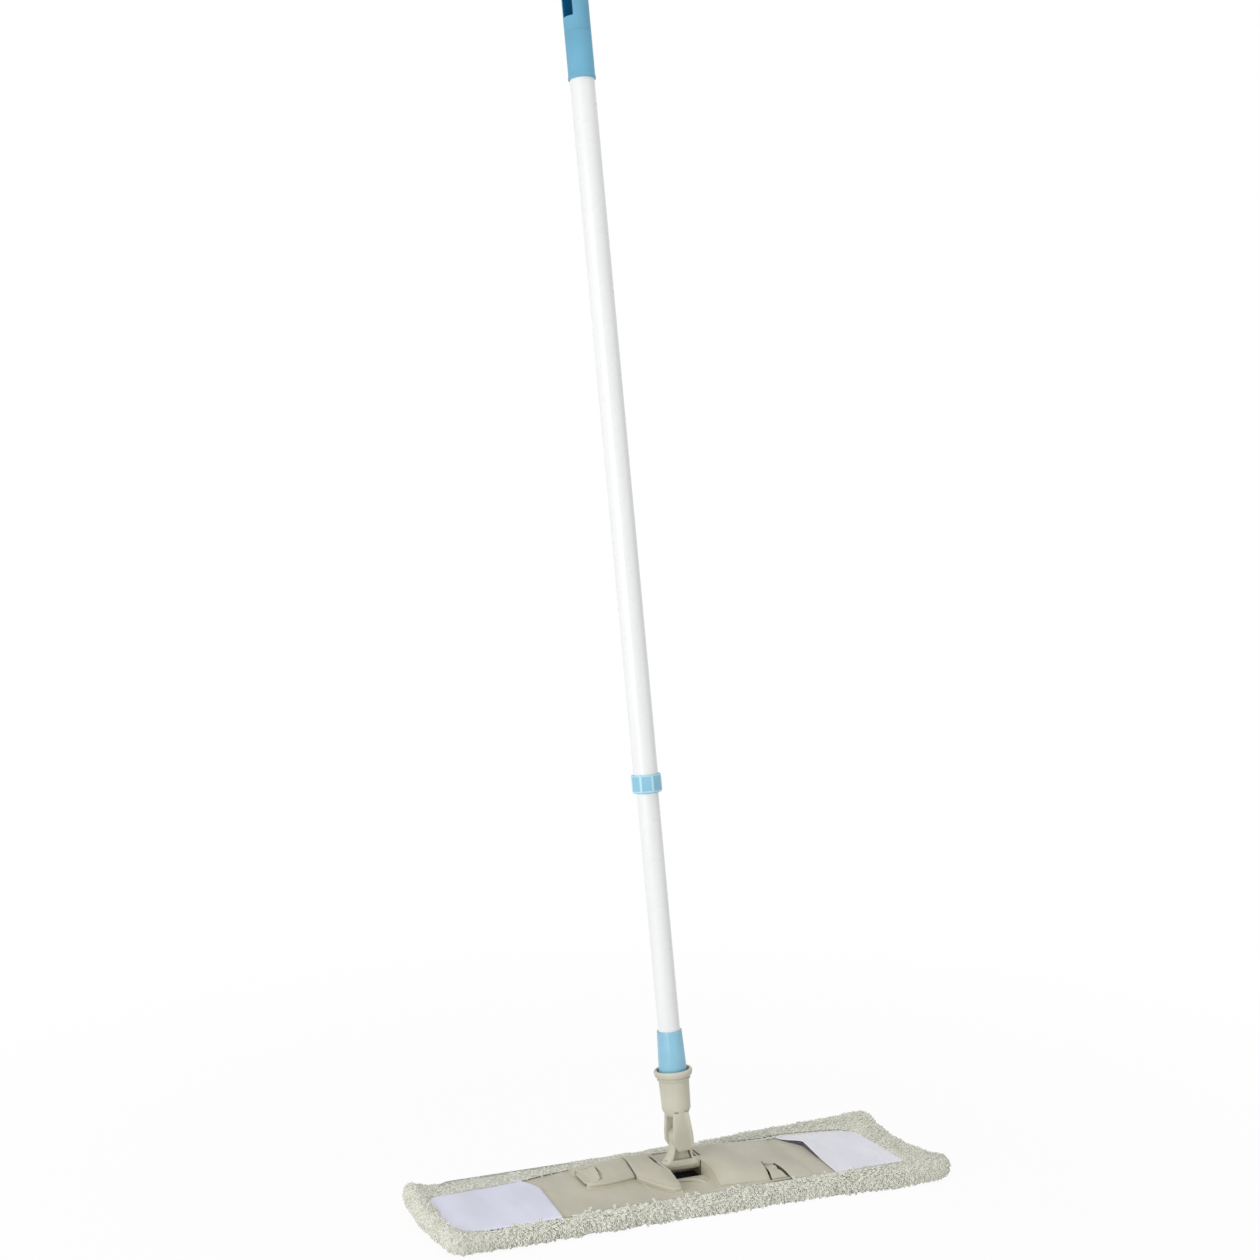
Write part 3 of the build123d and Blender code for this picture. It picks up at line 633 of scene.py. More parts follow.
softened("carrier", 0.35 * mm, reshape=parted_slot_wall, inner=(in_joint_slot, painted_recess_shade))
softened("left_wing", 0.35 * mm, reshape=bowed_tongue)
# The slit's wall beside the right lever takes painted shade
softened("right_wing", 0.25 * mm, reshape=spread_slits, inner=(in_right_slit, painted_slit_shade))
softened("tilt_knuckle", 0.3 * mm, inner=(in_knuckle_hollow, painted_recess_shade))
softened("swivel_socket", 0.35 * mm)
softened("ferrule", 0.4 * mm)
# The collar's rounded edges take a paler finish, a painted highlight
softened("lock_collar", 1.1 * mm, edge_highlight_finish=blue_painted_edge_highlight)
softened("grip_sleeve", 0.12 * mm, grip_plastic, reshape=closed_seam)
softened("hanging_cap", 0.0, grip_plastic, inner=(in_cap_slot, painted_cap_slot_shade))

# Beads along the feet of the housings and the walls of the joint slot
bead_end = 0.45
front_bead = 1.9 * mm
front_bead_in = 1.7 * mm
front_bead_up = 2.7 * mm
front_bead_steps = 24
foot_bead = 0.7 * mm
foot_bead_up = 0.25 * mm
foot_bead_steps = 16
foot_rise = 0.35 * mm
foot_search = 0.2 * mm
slot_bead = 1.1 * mm
slot_bead_out = 0.9 * mm
slot_bead_down = 0.8 * mm
slot_bead_span = (-43.0 * mm, 2.0 * mm)
slot_bead_steps = 20
above_head = 0.1

# Soft rise of the plate in front of the joint slot, in mm
slot_lip = (
    (-14.0, -20.5, 15.9), (-10.0, -20.6, 16.6), (-3.0, -20.9, 16.7), (4.0, -23.3, 16.7),
    (9.0, -28.0, 16.5), (12.0, -33.0, 15.9),
)
lip_radius = 1.5 * mm


def rod(name, path, radius, body, finish=head_plastic, slot="head_plastic"):
    """Round bead along a path of points, thinner at its ends."""
    line = bpy.data.curves.new(name, "CURVE")
    line.dimensions = "3D"
    line.bevel_depth = radius
    line.bevel_resolution = 3
    line.use_fill_caps = True
    spline = line.splines.new("POLY")
    spline.points.add(len(path) - 1)
    for point, place in zip(spline.points, path):
        point.co = (*place, 1.0)
    spline.points[0].radius = spline.points[-1].radius = bead_end
    holder = bpy.data.objects.new(name, line)
    mesh = bpy.data.meshes.new_from_object(holder)
    bpy.data.objects.remove(holder)
    bpy.data.curves.remove(line)
    mesh.shade_smooth()
    stand_for(link_piece(name, mesh, finish), slot, body)


def surface_of(node):
    """Search tree over the surface of a node."""
    bm = bmesh.new()
    bm.from_mesh(nodes[node].data)
    tree = BVHTree.FromBMesh(bm)
    bm.free()
    return tree


def height_at(tree, x, y):
    """Top of a moulding at a place in plan."""
    hit = tree.ray_cast(Vector((x, y, above_head)), Vector((0, 0, -1)))[0]
    return hit.z if hit else 0.0


def bowed_path(foot, bow, start, end):
    """Rolled front edge of a bowed housing, over the foot of its wall."""
    path = []
    for x in steps_between(start, end, front_bead_steps):
        y = along(foot, x / mm) * mm + along(bow, x / mm) * mm + front_bead_in
        path.append((x, y, plate_top + front_bead_up))
    return path


def foot_path(node, start, end):
    """Front foot of a housing where it rises from its plate, from one x to another."""
    tree = surface_of(node)
    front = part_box(node)[0].y
    path = []
    for x in steps_between(start, end, foot_bead_steps):
        y = front
        while height_at(tree, x, y) < plate_top + foot_rise and y < 0:
            y += foot_search
        path.append((x, y, plate_top + foot_bead_up))
    return path


def slot_path(x):
    """Just below the upper edge of the joint slot's wall at an x."""
    tree = surface_of("carrier")
    places = steps_between(*slot_bead_span, slot_bead_steps)
    return [(x, y, height_at(tree, x, y) - slot_bead_down) for y in places]


tongue_edge = bowed_path(tongue_foot, tongue_bow, -90.6 * mm, -45.4 * mm)
cheek_edge = bowed_path(cheek_foot, cheek_bow, -43.8 * mm, -19.4 * mm)
rod("tongue_bead", tongue_edge, front_bead, "wing_left")
rod("cheek_bead_left", cheek_edge, front_bead, "head")
rod("cheek_bead_right", foot_path("carrier", slot_half + mm, 43.0 * mm), foot_bead, "head")
rod("housing_bead", foot_path("right_wing", 45.4 * mm, 64.0 * mm), foot_bead, "wing_right")
for side, sign in (("left", -1), ("right", 1)):
    rod(f"slot_bead_{side}", slot_path(sign * (slot_half + slot_bead_out)), slot_bead, "head")
rod("slot_lip", metres(slot_lip), lip_radius, "head")

# Foot levers; both reach a little over the ends of their openings
lever_grid = (50, 30)
lever_over = 0.2 * mm
left_lever_thick = 1.4 * mm
right_lever_thick = 0.6 * mm
left_housing = surface_of("left_wing")
right_housing = surface_of("right_wing")

# Left lever: its toe, in mm, and the scoop, the ridge, the groove and the pin that it covers
opening_end = -72.4 * mm
level_probe = 0.8 * mm
toe_back = 1.9
toe_back_from = 0.8
toe_back_fade = 0.1
toe_front = 1.2
toe_front_to = 0.12
toe_front_fade = 0.06
toe_over = 0.1
blend_from = 0.75
blend_fade = 0.25
scoop_height = 20.3 * mm
scoop_slope = 0.6 * mm
ridge_start = 12.4 * mm
ridge_slant = 5.2 * mm
ridge_rise = 1.2 * mm
groove_depth = 2.2 * mm
groove_front = 0.8
groove_spread = 0.9
groove_least = 0.2 * mm
pin_side = -79.4 * mm
pin_cover = 22.0 * mm

# Right lever: its sides, gaps and least height by y, its rolled edge by share across it, in mm, and the
# sill in front of it
press_left = 65.5
press_right = 83.0
press_front = 3.2 * mm
press_edge = ((0.0, 0.7), (0.06, 0.15), (0.12, 0.0), (0.88, 0.0), (0.94, 0.15), (1.0, 0.7))
left_gap = 2.4
right_gap = ((-40.0, 2.2), (-31.0, 1.0))
right_floor = ((-37.0, 18.5), (-32.5, 21.3))
press_dip = 2.8 * mm
dip_from = 0.3
dip_fade = 0.6
lever_sill = (
    (64.4, -52.9, 16.9), (66.0, -52.9, 17.2), (74.0, -52.9, 17.2), (82.2, -52.9, 17.2),
    (83.4, -52.9, 16.9),
)
sill_radius = 1.0 * mm


def lever(name, node, column, body, thick):
    """Foot lever from a grid; column gives places (share, x, y, z) across it, by share to the back."""
    bm = bmesh.new()
    bmesh.ops.create_grid(bm, x_segments=lever_grid[0], y_segments=lever_grid[1], size=0.5)
    low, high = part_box(node)
    for vertex in bm.verts:
        line = column(low, high, vertex.co.y + 0.5)
        across = vertex.co.x + 0.5
        vertex.co = [along([(place[0], place[axis]) for place in line], across) for axis in (1, 2, 3)]
    bm.normal_update()
    if sum(face.normal.z for face in bm.faces) < 0:
        bmesh.ops.reverse_faces(bm, faces=bm.faces)
    piece = link_piece(name, mesh_of(bm, name, sharp=60.0), head_plastic)
    thickness = piece.modifiers.new("thickness", "SOLIDIFY")
    thickness.thickness = thick
    thickness.offset = -1.0
    stand_for(piece, "head_plastic", body, node)


def left_column(low, high, back):
    """Across the left lever: a scoop, a ridge at its inner side, a groove and a level strip."""
    y = low.y - lever_over + (high.y - low.y + 2 * lever_over) * back
    level = height_at(left_housing, opening_end + level_probe, y)
    behind = height_at(left_housing, low.x + mm, high.y + 2 * mm)
    toe = toe_back * fade((back - toe_back_from) / toe_back_fade)
    toe += toe_front * fade((toe_front_to - back) / toe_front_fade)
    ridge_x = low.x + ridge_start + ridge_slant * back
    blend = fade((back - blend_from) / blend_fade)
    scoop = scoop_height + scoop_slope * back + (behind - scoop_height) * blend
    crest = level + ridge_rise * (1 - blend)
    rise = crest - scoop
    width = (groove_front + groove_spread * back) * (1 - blend) * mm + groove_least
    deep = level - groove_depth * (1 - blend)
    line = (
        (0.0, low.x + (toe - toe_over) * mm, scoop + 0.5 * mm),
        (0.1, low.x + 2.8 * mm, scoop + 0.2 * mm),
        (0.3, low.x + 6.0 * mm, scoop),
        (0.46, min(ridge_x - 3.0 * mm, pin_side), max(scoop + 0.15 * rise, pin_cover)),
        (0.54, ridge_x - 1.5 * mm, scoop + 0.7 * rise),
        (0.6, ridge_x, crest),
        (0.64, ridge_x + 0.4 * mm, crest - 0.3 * mm),
        (0.7, ridge_x + 0.6 * mm, deep),
        (0.8, ridge_x + 0.6 * mm + width, deep),
        (1.0, max(opening_end, ridge_x + 1.2 * mm + width), level),
    )
    return [(share, x, y, z) for share, x, z in line]


def right_column(low, high, back):
    """Across the right lever: a foot pad that dips at the back, between the two spread slits."""
    front, rear = low.y - press_front, high.y + lever_over
    y = front + (rear - front) * back
    left = (press_left + along(left_slit, y / mm) + left_gap) * mm
    right = (press_right + along(right_slit, y / mm) - along(right_gap, y / mm)) * mm
    beside = max(height_at(right_housing, low.x - mm, y), plate_top)
    beyond = max(height_at(right_housing, high.x + mm, y), plate_top)
    dip = press_dip * fade((back - dip_from) / dip_fade)
    least = along(right_floor, y / mm) * mm
    line = []
    for share, sink in press_edge:
        z = max(beside + (beyond - beside) * share - (sink * mm + dip), least)
        line.append((share, left + (right - left) * share, y, z))
    return line


lever("left_tab_lever", "left_release_tab", left_column, "tab_left", left_lever_thick)
lever("right_tab_lever", "right_release_tab", right_column, "tab_right", right_lever_thick)
rod("lever_sill", metres(lever_sill), sill_radius, "wing_right")

# Tubes, turned about the handle's axis
tube_wall = 0.9 * mm
rim_edge = 0.25 * mm
turn_steps = 72


def tube_section(node):
    """Section of a tube, as (radius, height), with its two rims broken."""
    low, high, radius = handle_span(node)
    return [
        (radius - tube_wall, low),
        (radius - rim_edge, low),
        (radius, low + rim_edge),
        (radius, high - rim_edge),
        (radius - rim_edge, high),
        (radius - tube_wall, high),
    ]


def turned_tube(name, node):
    """Tube turned from its section, standing for a node."""
    bm = bmesh.new()
    corners = [bm.verts.new((radius, 0, height)) for radius, height in tube_section(node)]
    edges = [bm.edges.new((a, b)) for a, b in zip(corners, corners[1:] + corners[:1])]
    bmesh.ops.spin(
        bm,
        geom=corners + edges,
        axis=(0, 0, 1),
        angle=math.tau,
        steps=turn_steps,
        use_merge=True,
    )
    bmesh.ops.remove_doubles(bm, verts=bm.verts, dist=cut_weld)
    bmesh.ops.recalc_face_normals(bm, faces=bm.faces)
    bmesh.ops.transform(bm, matrix=handle_frame, verts=bm.verts)
    piece = link_piece(name, mesh_of(bm, name, sharp=40.0), finish_of_slot[slot_of_node[node]])
    stand_for_node(piece, node)


turned_tube("lower_tube_coat", "lower_tube")
turned_tube("upper_tube_coat", "upper_tube")

# Pad: a cover of pile rolled round the edge of the head, with loops of yarn all over it
plate_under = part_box("carrier")[0].z
plate_low = Vector((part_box("left_wing")[0].x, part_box("carrier")[0].y))
plate_high = Vector((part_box("right_wing")[1].x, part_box("carrier")[1].y))
plate_ease = 1.4 * mm
plate_corner = 16.0 * mm
edge_corner = 16 * mm
foot_corner = 12 * mm
arc_steps = 10
long_steps = 120
end_steps = 34
corner_share = 0.03

# Edge of the pad and foot of its rolled rim on the plate, in mm: corners from the left front one, and
# bowed sides
edge_corners = ((-236.0, -69.0), (238.0, -79.0), (222.0, 62.5), (-240.0, 62.0))
edge_front = ((-236.0, -69.0), (60.0, -67.5), (130.0, -72.0), (190.0, -78.0), (238.0, -79.0))
edge_back = ((-240.0, 62.5), (-222.0, 61.0), (-160.0, 61.0), (170.0, 62.0), (222.0, 62.5))
left_bulge = 3.5 * mm
right_pull = 7.0 * mm
pad_low = Vector((edge_corners[3][0], edge_corners[1][1])) * mm
pad_high = Vector((edge_corners[1][0], edge_corners[3][1])) * mm
foot_corners = ((-222.0, -57.5), (196.0, -65.0), (193.0, 29.0), (-228.0, 25.0))
foot_front = ((-222.0, -57.5), (110.0, -58.5), (196.0, -65.0))
foot_back = (
    (-228, 25), (-180, 27), (-139, 30), (-100, 38), (-60, 45), (60, 46), (75, 43), (100, 41),
    (124, 43), (160, 37), (193, 29),
)

# Crest and underside of the rim, in mm, by side and share of the side from the left front corner
rim_crest = (
    (0.0, 20.6), (0.06, 19.2), (0.2, 18.4), (0.27, 17.7), (0.41, 17.4), (0.46, 15.6), (0.52, 13.8),
    (0.6, 14.0), (0.66, 15.0), (0.72, 15.8), (0.8, 16.8), (0.9, 17.6), (0.94, 18.4), (1.0, 21.5),
    (1.3, 21.0), (1.6, 21.5), (2.0, 25.5), (2.06, 24.8), (2.18, 23.4), (2.29, 22.0), (2.4, 20.6),
    (2.68, 19.8), (2.94, 19.6), (2.97, 20.2), (3.0, 23.0), (3.2, 22.0), (3.5, 21.6), (4.0, 20.6),
)
rim_base = (
    (0.0, 2.4), (0.1, 1.6), (0.9, 1.6), (1.0, 2.4), (1.5, 6.0), (2.0, 8.5), (2.2, 5.0), (2.4, 1.8),
    (3.9, 1.6), (4.0, 2.4),
)
back_clear = 0.6 * mm
rise_steps = 6
roll_steps = 10
roll_share = 0.8

# Swollen corners: how far they reach along the ends and sides, as shares, and how much they swell
ear_on_end = 0.16
ear_on_side = 0.05
ear_fall = 1.5
ear_rise = 2.4 * mm
ear_swell = 1.6 * mm

# Loops of the pile: how far they stand off the cover, and their length round the rim, as shares
loop_lie = 2.4 * mm
loop_crop = 0.55
crop_from = 0.04
crop_fade = 0.08
back_length = ((2.4, 0.6), (2.46, 0.38), (2.62, 0.38), (2.68, 0.6))

# Lip of the rim on the plate: its height at the pockets and beside the bare plate, and how it changes
lip_under = 18.7 * mm
lip_bare = 18.0 * mm
lip_change = 95 * mm
lip_blend = 20 * mm
lip_reach = 4.0 * mm
lip_most = 0.8
lip_lift = 1.4 * mm
lift_end = 2.34
lift_end_fade = 0.06
lift_start_fade = 0.03
lip_thick = 0.3
rim_thick = 0.5
over_from = 1 * mm
over_fade = 4 * mm

# Well under the plate and sole: the gap below the plate, how far their middle lines end before their
# outlines, the sole's height, and how far in from the edge, in mm, it turns and lies flat
well_gap = 0.3 * mm
well_inset = 0.06
sole_inset = 0.07
sole_height = 1.3 * loop_lie
sole_turn = 24
sole_flat = 44

# How thick the loops stand on the lip, the rim, the turn to the sole and the sole, as shares
lip_stand = 0.3
rim_stand = 1.0
turn_stand = 0.45
sole_stand = 0.35


def rounded_ring(corners, radius, front=None, back=None, bulge=0.0, pull=0.0):
    """Places round a four-cornered outline, each with its side and share; sides may be bowed."""
    ring = []
    for k in range(4):
        corner, following = corners[k], corners[(k + 1) % 4]
        inward = (corner - corners[k - 1]).normalized()
        onward = (following - corner).normalized()
        start, end = corner - radius * inward, corner + radius * onward
        goal = following - radius * onward
        for step in range(arc_steps):
            t = step / arc_steps
            place = (1 - t) ** 2 * start + 2 * t * (1 - t) * corner + t ** 2 * end
            ring.append((place, (k + corner_share * (2 * t - 1)) % 4))
        steps = end_steps if k % 2 else long_steps
        for step in range(steps):
            t = step / steps
            place = end.lerp(goal, t)
            bow = {0: front, 2: back}.get(k)
            if bow:
                place.y = along(bow, place.x / mm) * mm
            place.x -= {1: pull, 3: bulge}.get(k, 0.0) * math.sin(math.pi * t)
            ring.append((place, k + corner_share + (1 - 2 * corner_share) * t))
    return ring


def edge_ring():
    """Outer edge of the pad."""
    return rounded_ring(
        metres(edge_corners), edge_corner, edge_front, edge_back, left_bulge, right_pull
    )


def foot_ring():
    """Foot of the rolled rim on the plate."""
    return rounded_ring(metres(foot_corners), foot_corner, foot_front, foot_back)


def plate_ring():
    """Edge of the plate, with some ease."""
    ease = Vector((plate_ease, plate_ease))
    low, high = plate_low - ease, plate_high + ease
    places = ((low.x, low.y), (high.x, low.y), (high.x, high.y), (low.x, high.y))
    return rounded_ring([Vector(place) for place in places], plate_corner)


def ear(share):
    """How far a place on the rim belongs to one of the swollen corners."""
    away = share - round(share)
    reach = ear_on_end if int(share) % 2 == 1 else ear_on_side
    return max(0.0, 1 - abs(away) / reach) ** ear_fall


def loop_length(share):
    """Length of the loops round the rim: full along the front, cropped at the ends and corners."""
    full = loop_crop if share > 1 else 1.0
    if int(share) == 2:
        full = along(back_length, share)
    from_corner = abs(share - round(share))
    return loop_crop + (full - loop_crop) * fade((from_corner - crop_from) / crop_fade)


def middle_line(x, low, high, inset):
    """Nearest place on the middle line of an outline, which ends an inset before the outline does."""
    return Vector((min(max(x, low.x + inset), high.x - inset), 0.0))


def lip_level(foot, share, over, crest):
    """Height of the rim's lip: on the plate where it reaches over it, else beside it."""
    lip_low = lip_bare + (lip_under - lip_bare) * fade((abs(foot.x) - lip_change) / lip_blend)
    if 2 < share < lift_end:
        ending = fade((lift_end - share) / lift_end_fade)
        lip_low += lip_lift * ending * fade((share - 2) / lift_start_fade)
    beside = min(plate_top - 2 * mm, crest - 0.5 * mm)
    return beside + (lip_low - beside) * over


def tucked_part(foot, plate, under):
    """Section of the cover from below the plate, round its edge and up to the lip of the rim."""
    heart = middle_line(plate.x, plate_low, plate_high, well_inset)
    well = plate_under - well_gap
    resting = min(plate_top + near, under - touch)
    behind = foot.lerp(plate, min(lip_most, lip_reach / (plate - foot).length))
    return [
        (heart, well, 0.0),
        (plate, well, 0.0),
        (plate, resting, 0.0),
        (behind, resting, 0.0),
        (foot, under, lip_stand),
    ]


def rolled_part(edge, inward, width, crest, base, lip):
    """Section of the rolled rim, up from its lip to the crest and down round its outside."""
    half, middle = (crest - base) / 2, (crest + base) / 2
    depth = min(half, roll_share * width)
    points = []
    for step in range(rise_steps):
        t = step / rise_steps
        rise = math.sin(t * math.pi / 2)
        place = edge + inward * (width + (depth - width) * t)
        points.append((place, lip + (crest - lip) * rise, rim_stand))
    for step in range(roll_steps + 1):
        turn = math.radians(90 - 180 / roll_steps * step)
        reach = depth * (1 - math.cos(turn))
        points.append((edge + inward * reach, middle + half * math.sin(turn), rim_stand))
    return points


def sole_part(edge, inward, base):
    """Section of the sole, from the rim to the middle."""
    heart = middle_line(edge.x, pad_low, pad_high, sole_inset)
    return [
        (edge + inward * sole_turn * mm, base + 0.5 * (sole_height - base), turn_stand),
        (edge + inward * sole_flat * mm, sole_height, sole_stand),
        (heart, sole_height, sole_stand),
    ]


def pad_section(edge, foot, plate, share):
    """Section of the pad at one place of the rim: (place, height, how thick the loops stand)."""
    lie = loop_lie * loop_length(share)
    crest = along(rim_crest, share) * mm - lie + ear_rise * ear(share)
    if share > 2.0:
        crest = max(crest, plate_top + back_clear)
    base = along(rim_base, share) * mm + 0.5 * lie
    inward = (foot - edge).normalized()
    edge = edge + inward * (lie - ear_swell * ear(share))
    over = fade((inward.dot(foot - plate) + over_from) / over_fade)
    under = lip_level(foot, share, over, crest)
    lip = under + (lip_thick * over + rim_thick * (1 - over)) * mm
    rolled = rolled_part(edge, inward, (foot - edge).length, crest, base, lip)
    return tucked_part(foot, plate, under) + rolled + sole_part(edge, inward, base)


# Bands of the pile, and the levels of a section that belong to the well and the sole
pile_bands = ("front", "ends", "back", "sole")
band_of_side = ("front", "ends", "back", "ends")
well_levels = 2
sole_levels = 3
skin_weld = 0.02 * mm
full_stand = 0.9
lump_scale = 42
lump_height = 1.1


def lumpy(bm, rim):
    """Smooth the rim and give it soft lumps."""
    bmesh.ops.smooth_vert(
        bm, verts=rim, factor=0.5, use_axis_x=True, use_axis_y=True, use_axis_z=True
    )
    bmesh.ops.recalc_face_normals(bm, faces=bm.faces)
    bm.normal_update()
    for vertex in rim:
        place = vertex.co * lump_scale
        lump = noise.fractal(place, 1.0, 2.0, 3, noise_basis="PERLIN_ORIGINAL")
        vertex.co += vertex.normal * lump * lump_height * mm


def pad_form():
    """The whole cover as one closed skin; its attribute pile says how thick the loops stand."""
    edge = edge_ring()
    rings = zip(edge, foot_ring(), plate_ring())
    sections = [pad_section(e, f, p, share) for (e, share), (f, _), (p, _) in rings]
    bm = bmesh.new()
    layers = bm.verts.layers.float
    standing, length, well = layers.new("pile"), layers.new("length"), layers.new("well")
    bands = {band: layers.new(band) for band in pile_bands}
    round_count, up_count = len(sections), len(sections[0]) - 1
    bmesh.ops.create_grid(bm, x_segments=round_count, y_segments=up_count, size=0.5)
    for vertex in bm.verts:
        station = round((vertex.co.x + 0.5) * round_count) % round_count
        level = round((vertex.co.y + 0.5) * up_count)
        place, height, stand = sections[station][level]
        share = edge[station][1]
        vertex.co = (place.x, place.y, height)
        vertex[standing] = stand
        vertex[length] = loop_length(share)
        # Levels below the plate take the painted shade of the backing
        vertex[well] = 1.0 if level < well_levels else 0.0
        band = "sole" if level > up_count - sole_levels else band_of_side[int(share)]
        vertex[bands[band]] = stand
    bmesh.ops.remove_doubles(bm, verts=bm.verts, dist=skin_weld)
    lumpy(bm, [vertex for vertex in bm.verts if vertex[standing] > full_stand])
    return bm


# Loops of yarn, in mm: span, height and half the yarn's thickness, and how deep their legs are rooted
loop_sizes = ((1.5, 2.9, 0.56), (1.7, 3.5, 0.6), (1.4, 4.2, 0.55), (1.6, 2.5, 0.58))
loop_root = 1.2 * mm
yarn_sides = 5
half_turn_steps = 5
loop_gap = 1.6 * mm
loop_density = 700000.0
lean_least = (math.radians(-82), math.radians(-20), math.radians(-50))
lean_most = (math.radians(-45), math.radians(20), math.radians(50))
size_least = (0.85, 0.9, 0.8)
size_most = (1.15, 1.1, 1.15)


def loop_template(name, span, height, yarn):
    """One loop of yarn: a leg, a half turn and a leg."""
    bm = bmesh.new()
    bmesh.ops.create_circle(bm, cap_ends=False, segments=yarn_sides, radius=yarn)
    bmesh.ops.translate(bm, vec=(span / 2, 0, -loop_root), verts=bm.verts)
    made = bmesh.ops.extrude_edge_only(bm, edges=list(bm.edges))["geom"]
    verts = of_kind(made, bmesh.types.BMVert)
    ring = [edge for edge in of_kind(made, bmesh.types.BMEdge) if all(v in verts for v in edge.verts)]
    bmesh.ops.translate(bm, vec=(0, 0, height - span / 2 + loop_root), verts=verts)
    turn = bmesh.ops.spin(
        bm,
        geom=ring + verts,
        cent=(0, 0, height - span / 2),
        axis=(0, -1, 0),
        angle=math.pi,
        steps=half_turn_steps,
    )
    last = of_kind(turn["geom_last"], bmesh.types.BMEdge)
    made = bmesh.ops.extrude_edge_only(bm, edges=last)["geom"]
    verts = of_kind(made, bmesh.types.BMVert)
    bmesh.ops.translate(bm, vec=(0, 0, -height + span / 2 - loop_root), verts=verts)
    bmesh.ops.remove_doubles(bm, verts=bm.verts, dist=cut_weld)
    bmesh.ops.recalc_face_normals(bm, faces=bm.faces)
    return bpy.data.objects.new(name, mesh_of(bm, name))


def loop_turn(add, normal, lean):
    """Turn of each loop: upright on the skin, facing downhill, then leaning."""
    upright = add("FunctionNodeAlignRotationToVector", {"Vector": normal}, axis="Z")
    downhill = add(
        "FunctionNodeAlignRotationToVector",
        {"Rotation": upright[0], "Vector": (0.0, 0.0, -1.0)},
        axis="Y",
        pivot_axis="Z",
    )
    leaning = add("FunctionNodeEulerToRotation", {"Euler": lean})
    turns = {"Rotation": downhill[0], "Rotate By": leaning[0]}
    return add("FunctionNodeRotateRotation", turns, rotation_space="LOCAL")[0]


def pile_nodes(loops, band, seed):
    """Geometry nodes that set a loop at each of many points scattered on a band, leaning downhill."""
    tree = bpy.data.node_groups.new("pile_loops", "GeometryNodeTree")
    for way in ("INPUT", "OUTPUT"):
        tree.interface.new_socket("Geometry", in_out=way, socket_type="NodeSocketGeometry")

    def add(kind, inputs=None, **settings):
        return add_node(tree, kind, inputs, **settings).outputs

    def stored_values(name):
        node = add("GeometryNodeInputNamedAttribute", {"Name": name}, data_type="FLOAT")
        return node["Attribute"]

    def random_between(least, most, draw):
        inputs = {0: least, 1: most, "Seed": seed + draw}
        return add("FunctionNodeRandomValue", inputs, data_type="FLOAT_VECTOR")[0]

    entry = add("NodeGroupInput")
    points = add(
        "GeometryNodeDistributePointsOnFaces",
        {
            "Mesh": entry[0],
            "Distance Min": loop_gap,
            "Density Max": loop_density,
            "Density Factor": stored_values(band),
            "Seed": seed,
        },
        distribute_method="POISSON",
    )
    lean = random_between(lean_least, lean_most, 1)
    size = add(
        "ShaderNodeVectorMath",
        {"Vector": random_between(size_least, size_most, 2), "Scale": stored_values("length")},
        operation="SCALE",
    )
    kinds = add(
        "GeometryNodeCollectionInfo",
        {"Collection": loops, "Separate Children": True, "Reset Children": True},
    )
    copies = add(
        "GeometryNodeInstanceOnPoints",
        {
            "Points": points["Points"],
            "Instance": kinds[0],
            "Pick Instance": True,
            "Rotation": loop_turn(add, points["Normal"], lean),
            "Scale": size[0],
        },
    )
    tone = add("FunctionNodeRandomValue", {"Seed": seed + 3}, data_type="FLOAT")
    stored = add(
        "GeometryNodeStoreNamedAttribute",
        {"Geometry": copies[0], "Name": "tuft", "Value": tone[1]},
        data_type="FLOAT",
        domain="INSTANCE",
    )
    real = add("GeometryNodeRealizeInstances", {"Geometry": stored[0]})
    add_node(tree, "NodeGroupOutput", {0: real[0]})
    return tree


# Halves of the pad: where they bend with the folds, how high loops stay off the floor, and seeds
fold_start = 0.032
fold_end = 0.056
floor_gap = 0.15 * mm
first_seed = 3
seed_step = 10


def grown_pile(name, cover, loops, band, seed):
    """Loops on a band of a cover as a piece of their own, pressed level where they meet the floor."""
    grower = bpy.data.objects.new("grower", cover.data)
    scene.collection.objects.link(grower)
    growth = grower.modifiers.new("growth", "NODES")
    growth.node_group = pile_nodes(loops, band, seed)
    depsgraph = bpy.context.evaluated_depsgraph_get()
    mesh = bpy.data.meshes.new_from_object(grower.evaluated_get(depsgraph), depsgraph=depsgraph)
    bpy.data.objects.remove(grower)
    mesh.name = name
    for vertex in mesh.vertices:
        vertex.co.z = max(vertex.co.z, floor_gap)
    mesh.shade_smooth()
    return link_piece(name, mesh, pile)


def pad_half(side, sign, stood):
    """Half of the pad: its cover and its loops, bending with the fold of that side."""
    bm = pad_form()
    cut = bmesh.ops.bisect_plane(
        bm, geom=whole(bm), plane_co=(0, 0, 0), plane_no=(-sign, 0, 0), clear_outer=True
    )
    bmesh.ops.holes_fill(bm, edges=of_kind(cut["geom_cut"], bmesh.types.BMEdge))
    bmesh.ops.recalc_face_normals(bm, faces=bm.faces)
    cover = link_piece(f"pad_cover_{side}", mesh_of(bm, f"pad_cover_{side}"), backing)
    pieces = [cover]
    for order, band in enumerate(pile_bands):
        name = f"pad_loops_{side}_{band}"
        seed = seed_step * order + first_seed + sign
        pieces.append(grown_pile(name, cover, loop_kinds, band, seed))
    for piece in pieces:
        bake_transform(piece, "head", f"wing_{side}", (sign * fold_start, 0, 0), (sign * fold_end, 0, 0))
    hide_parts(*stood)


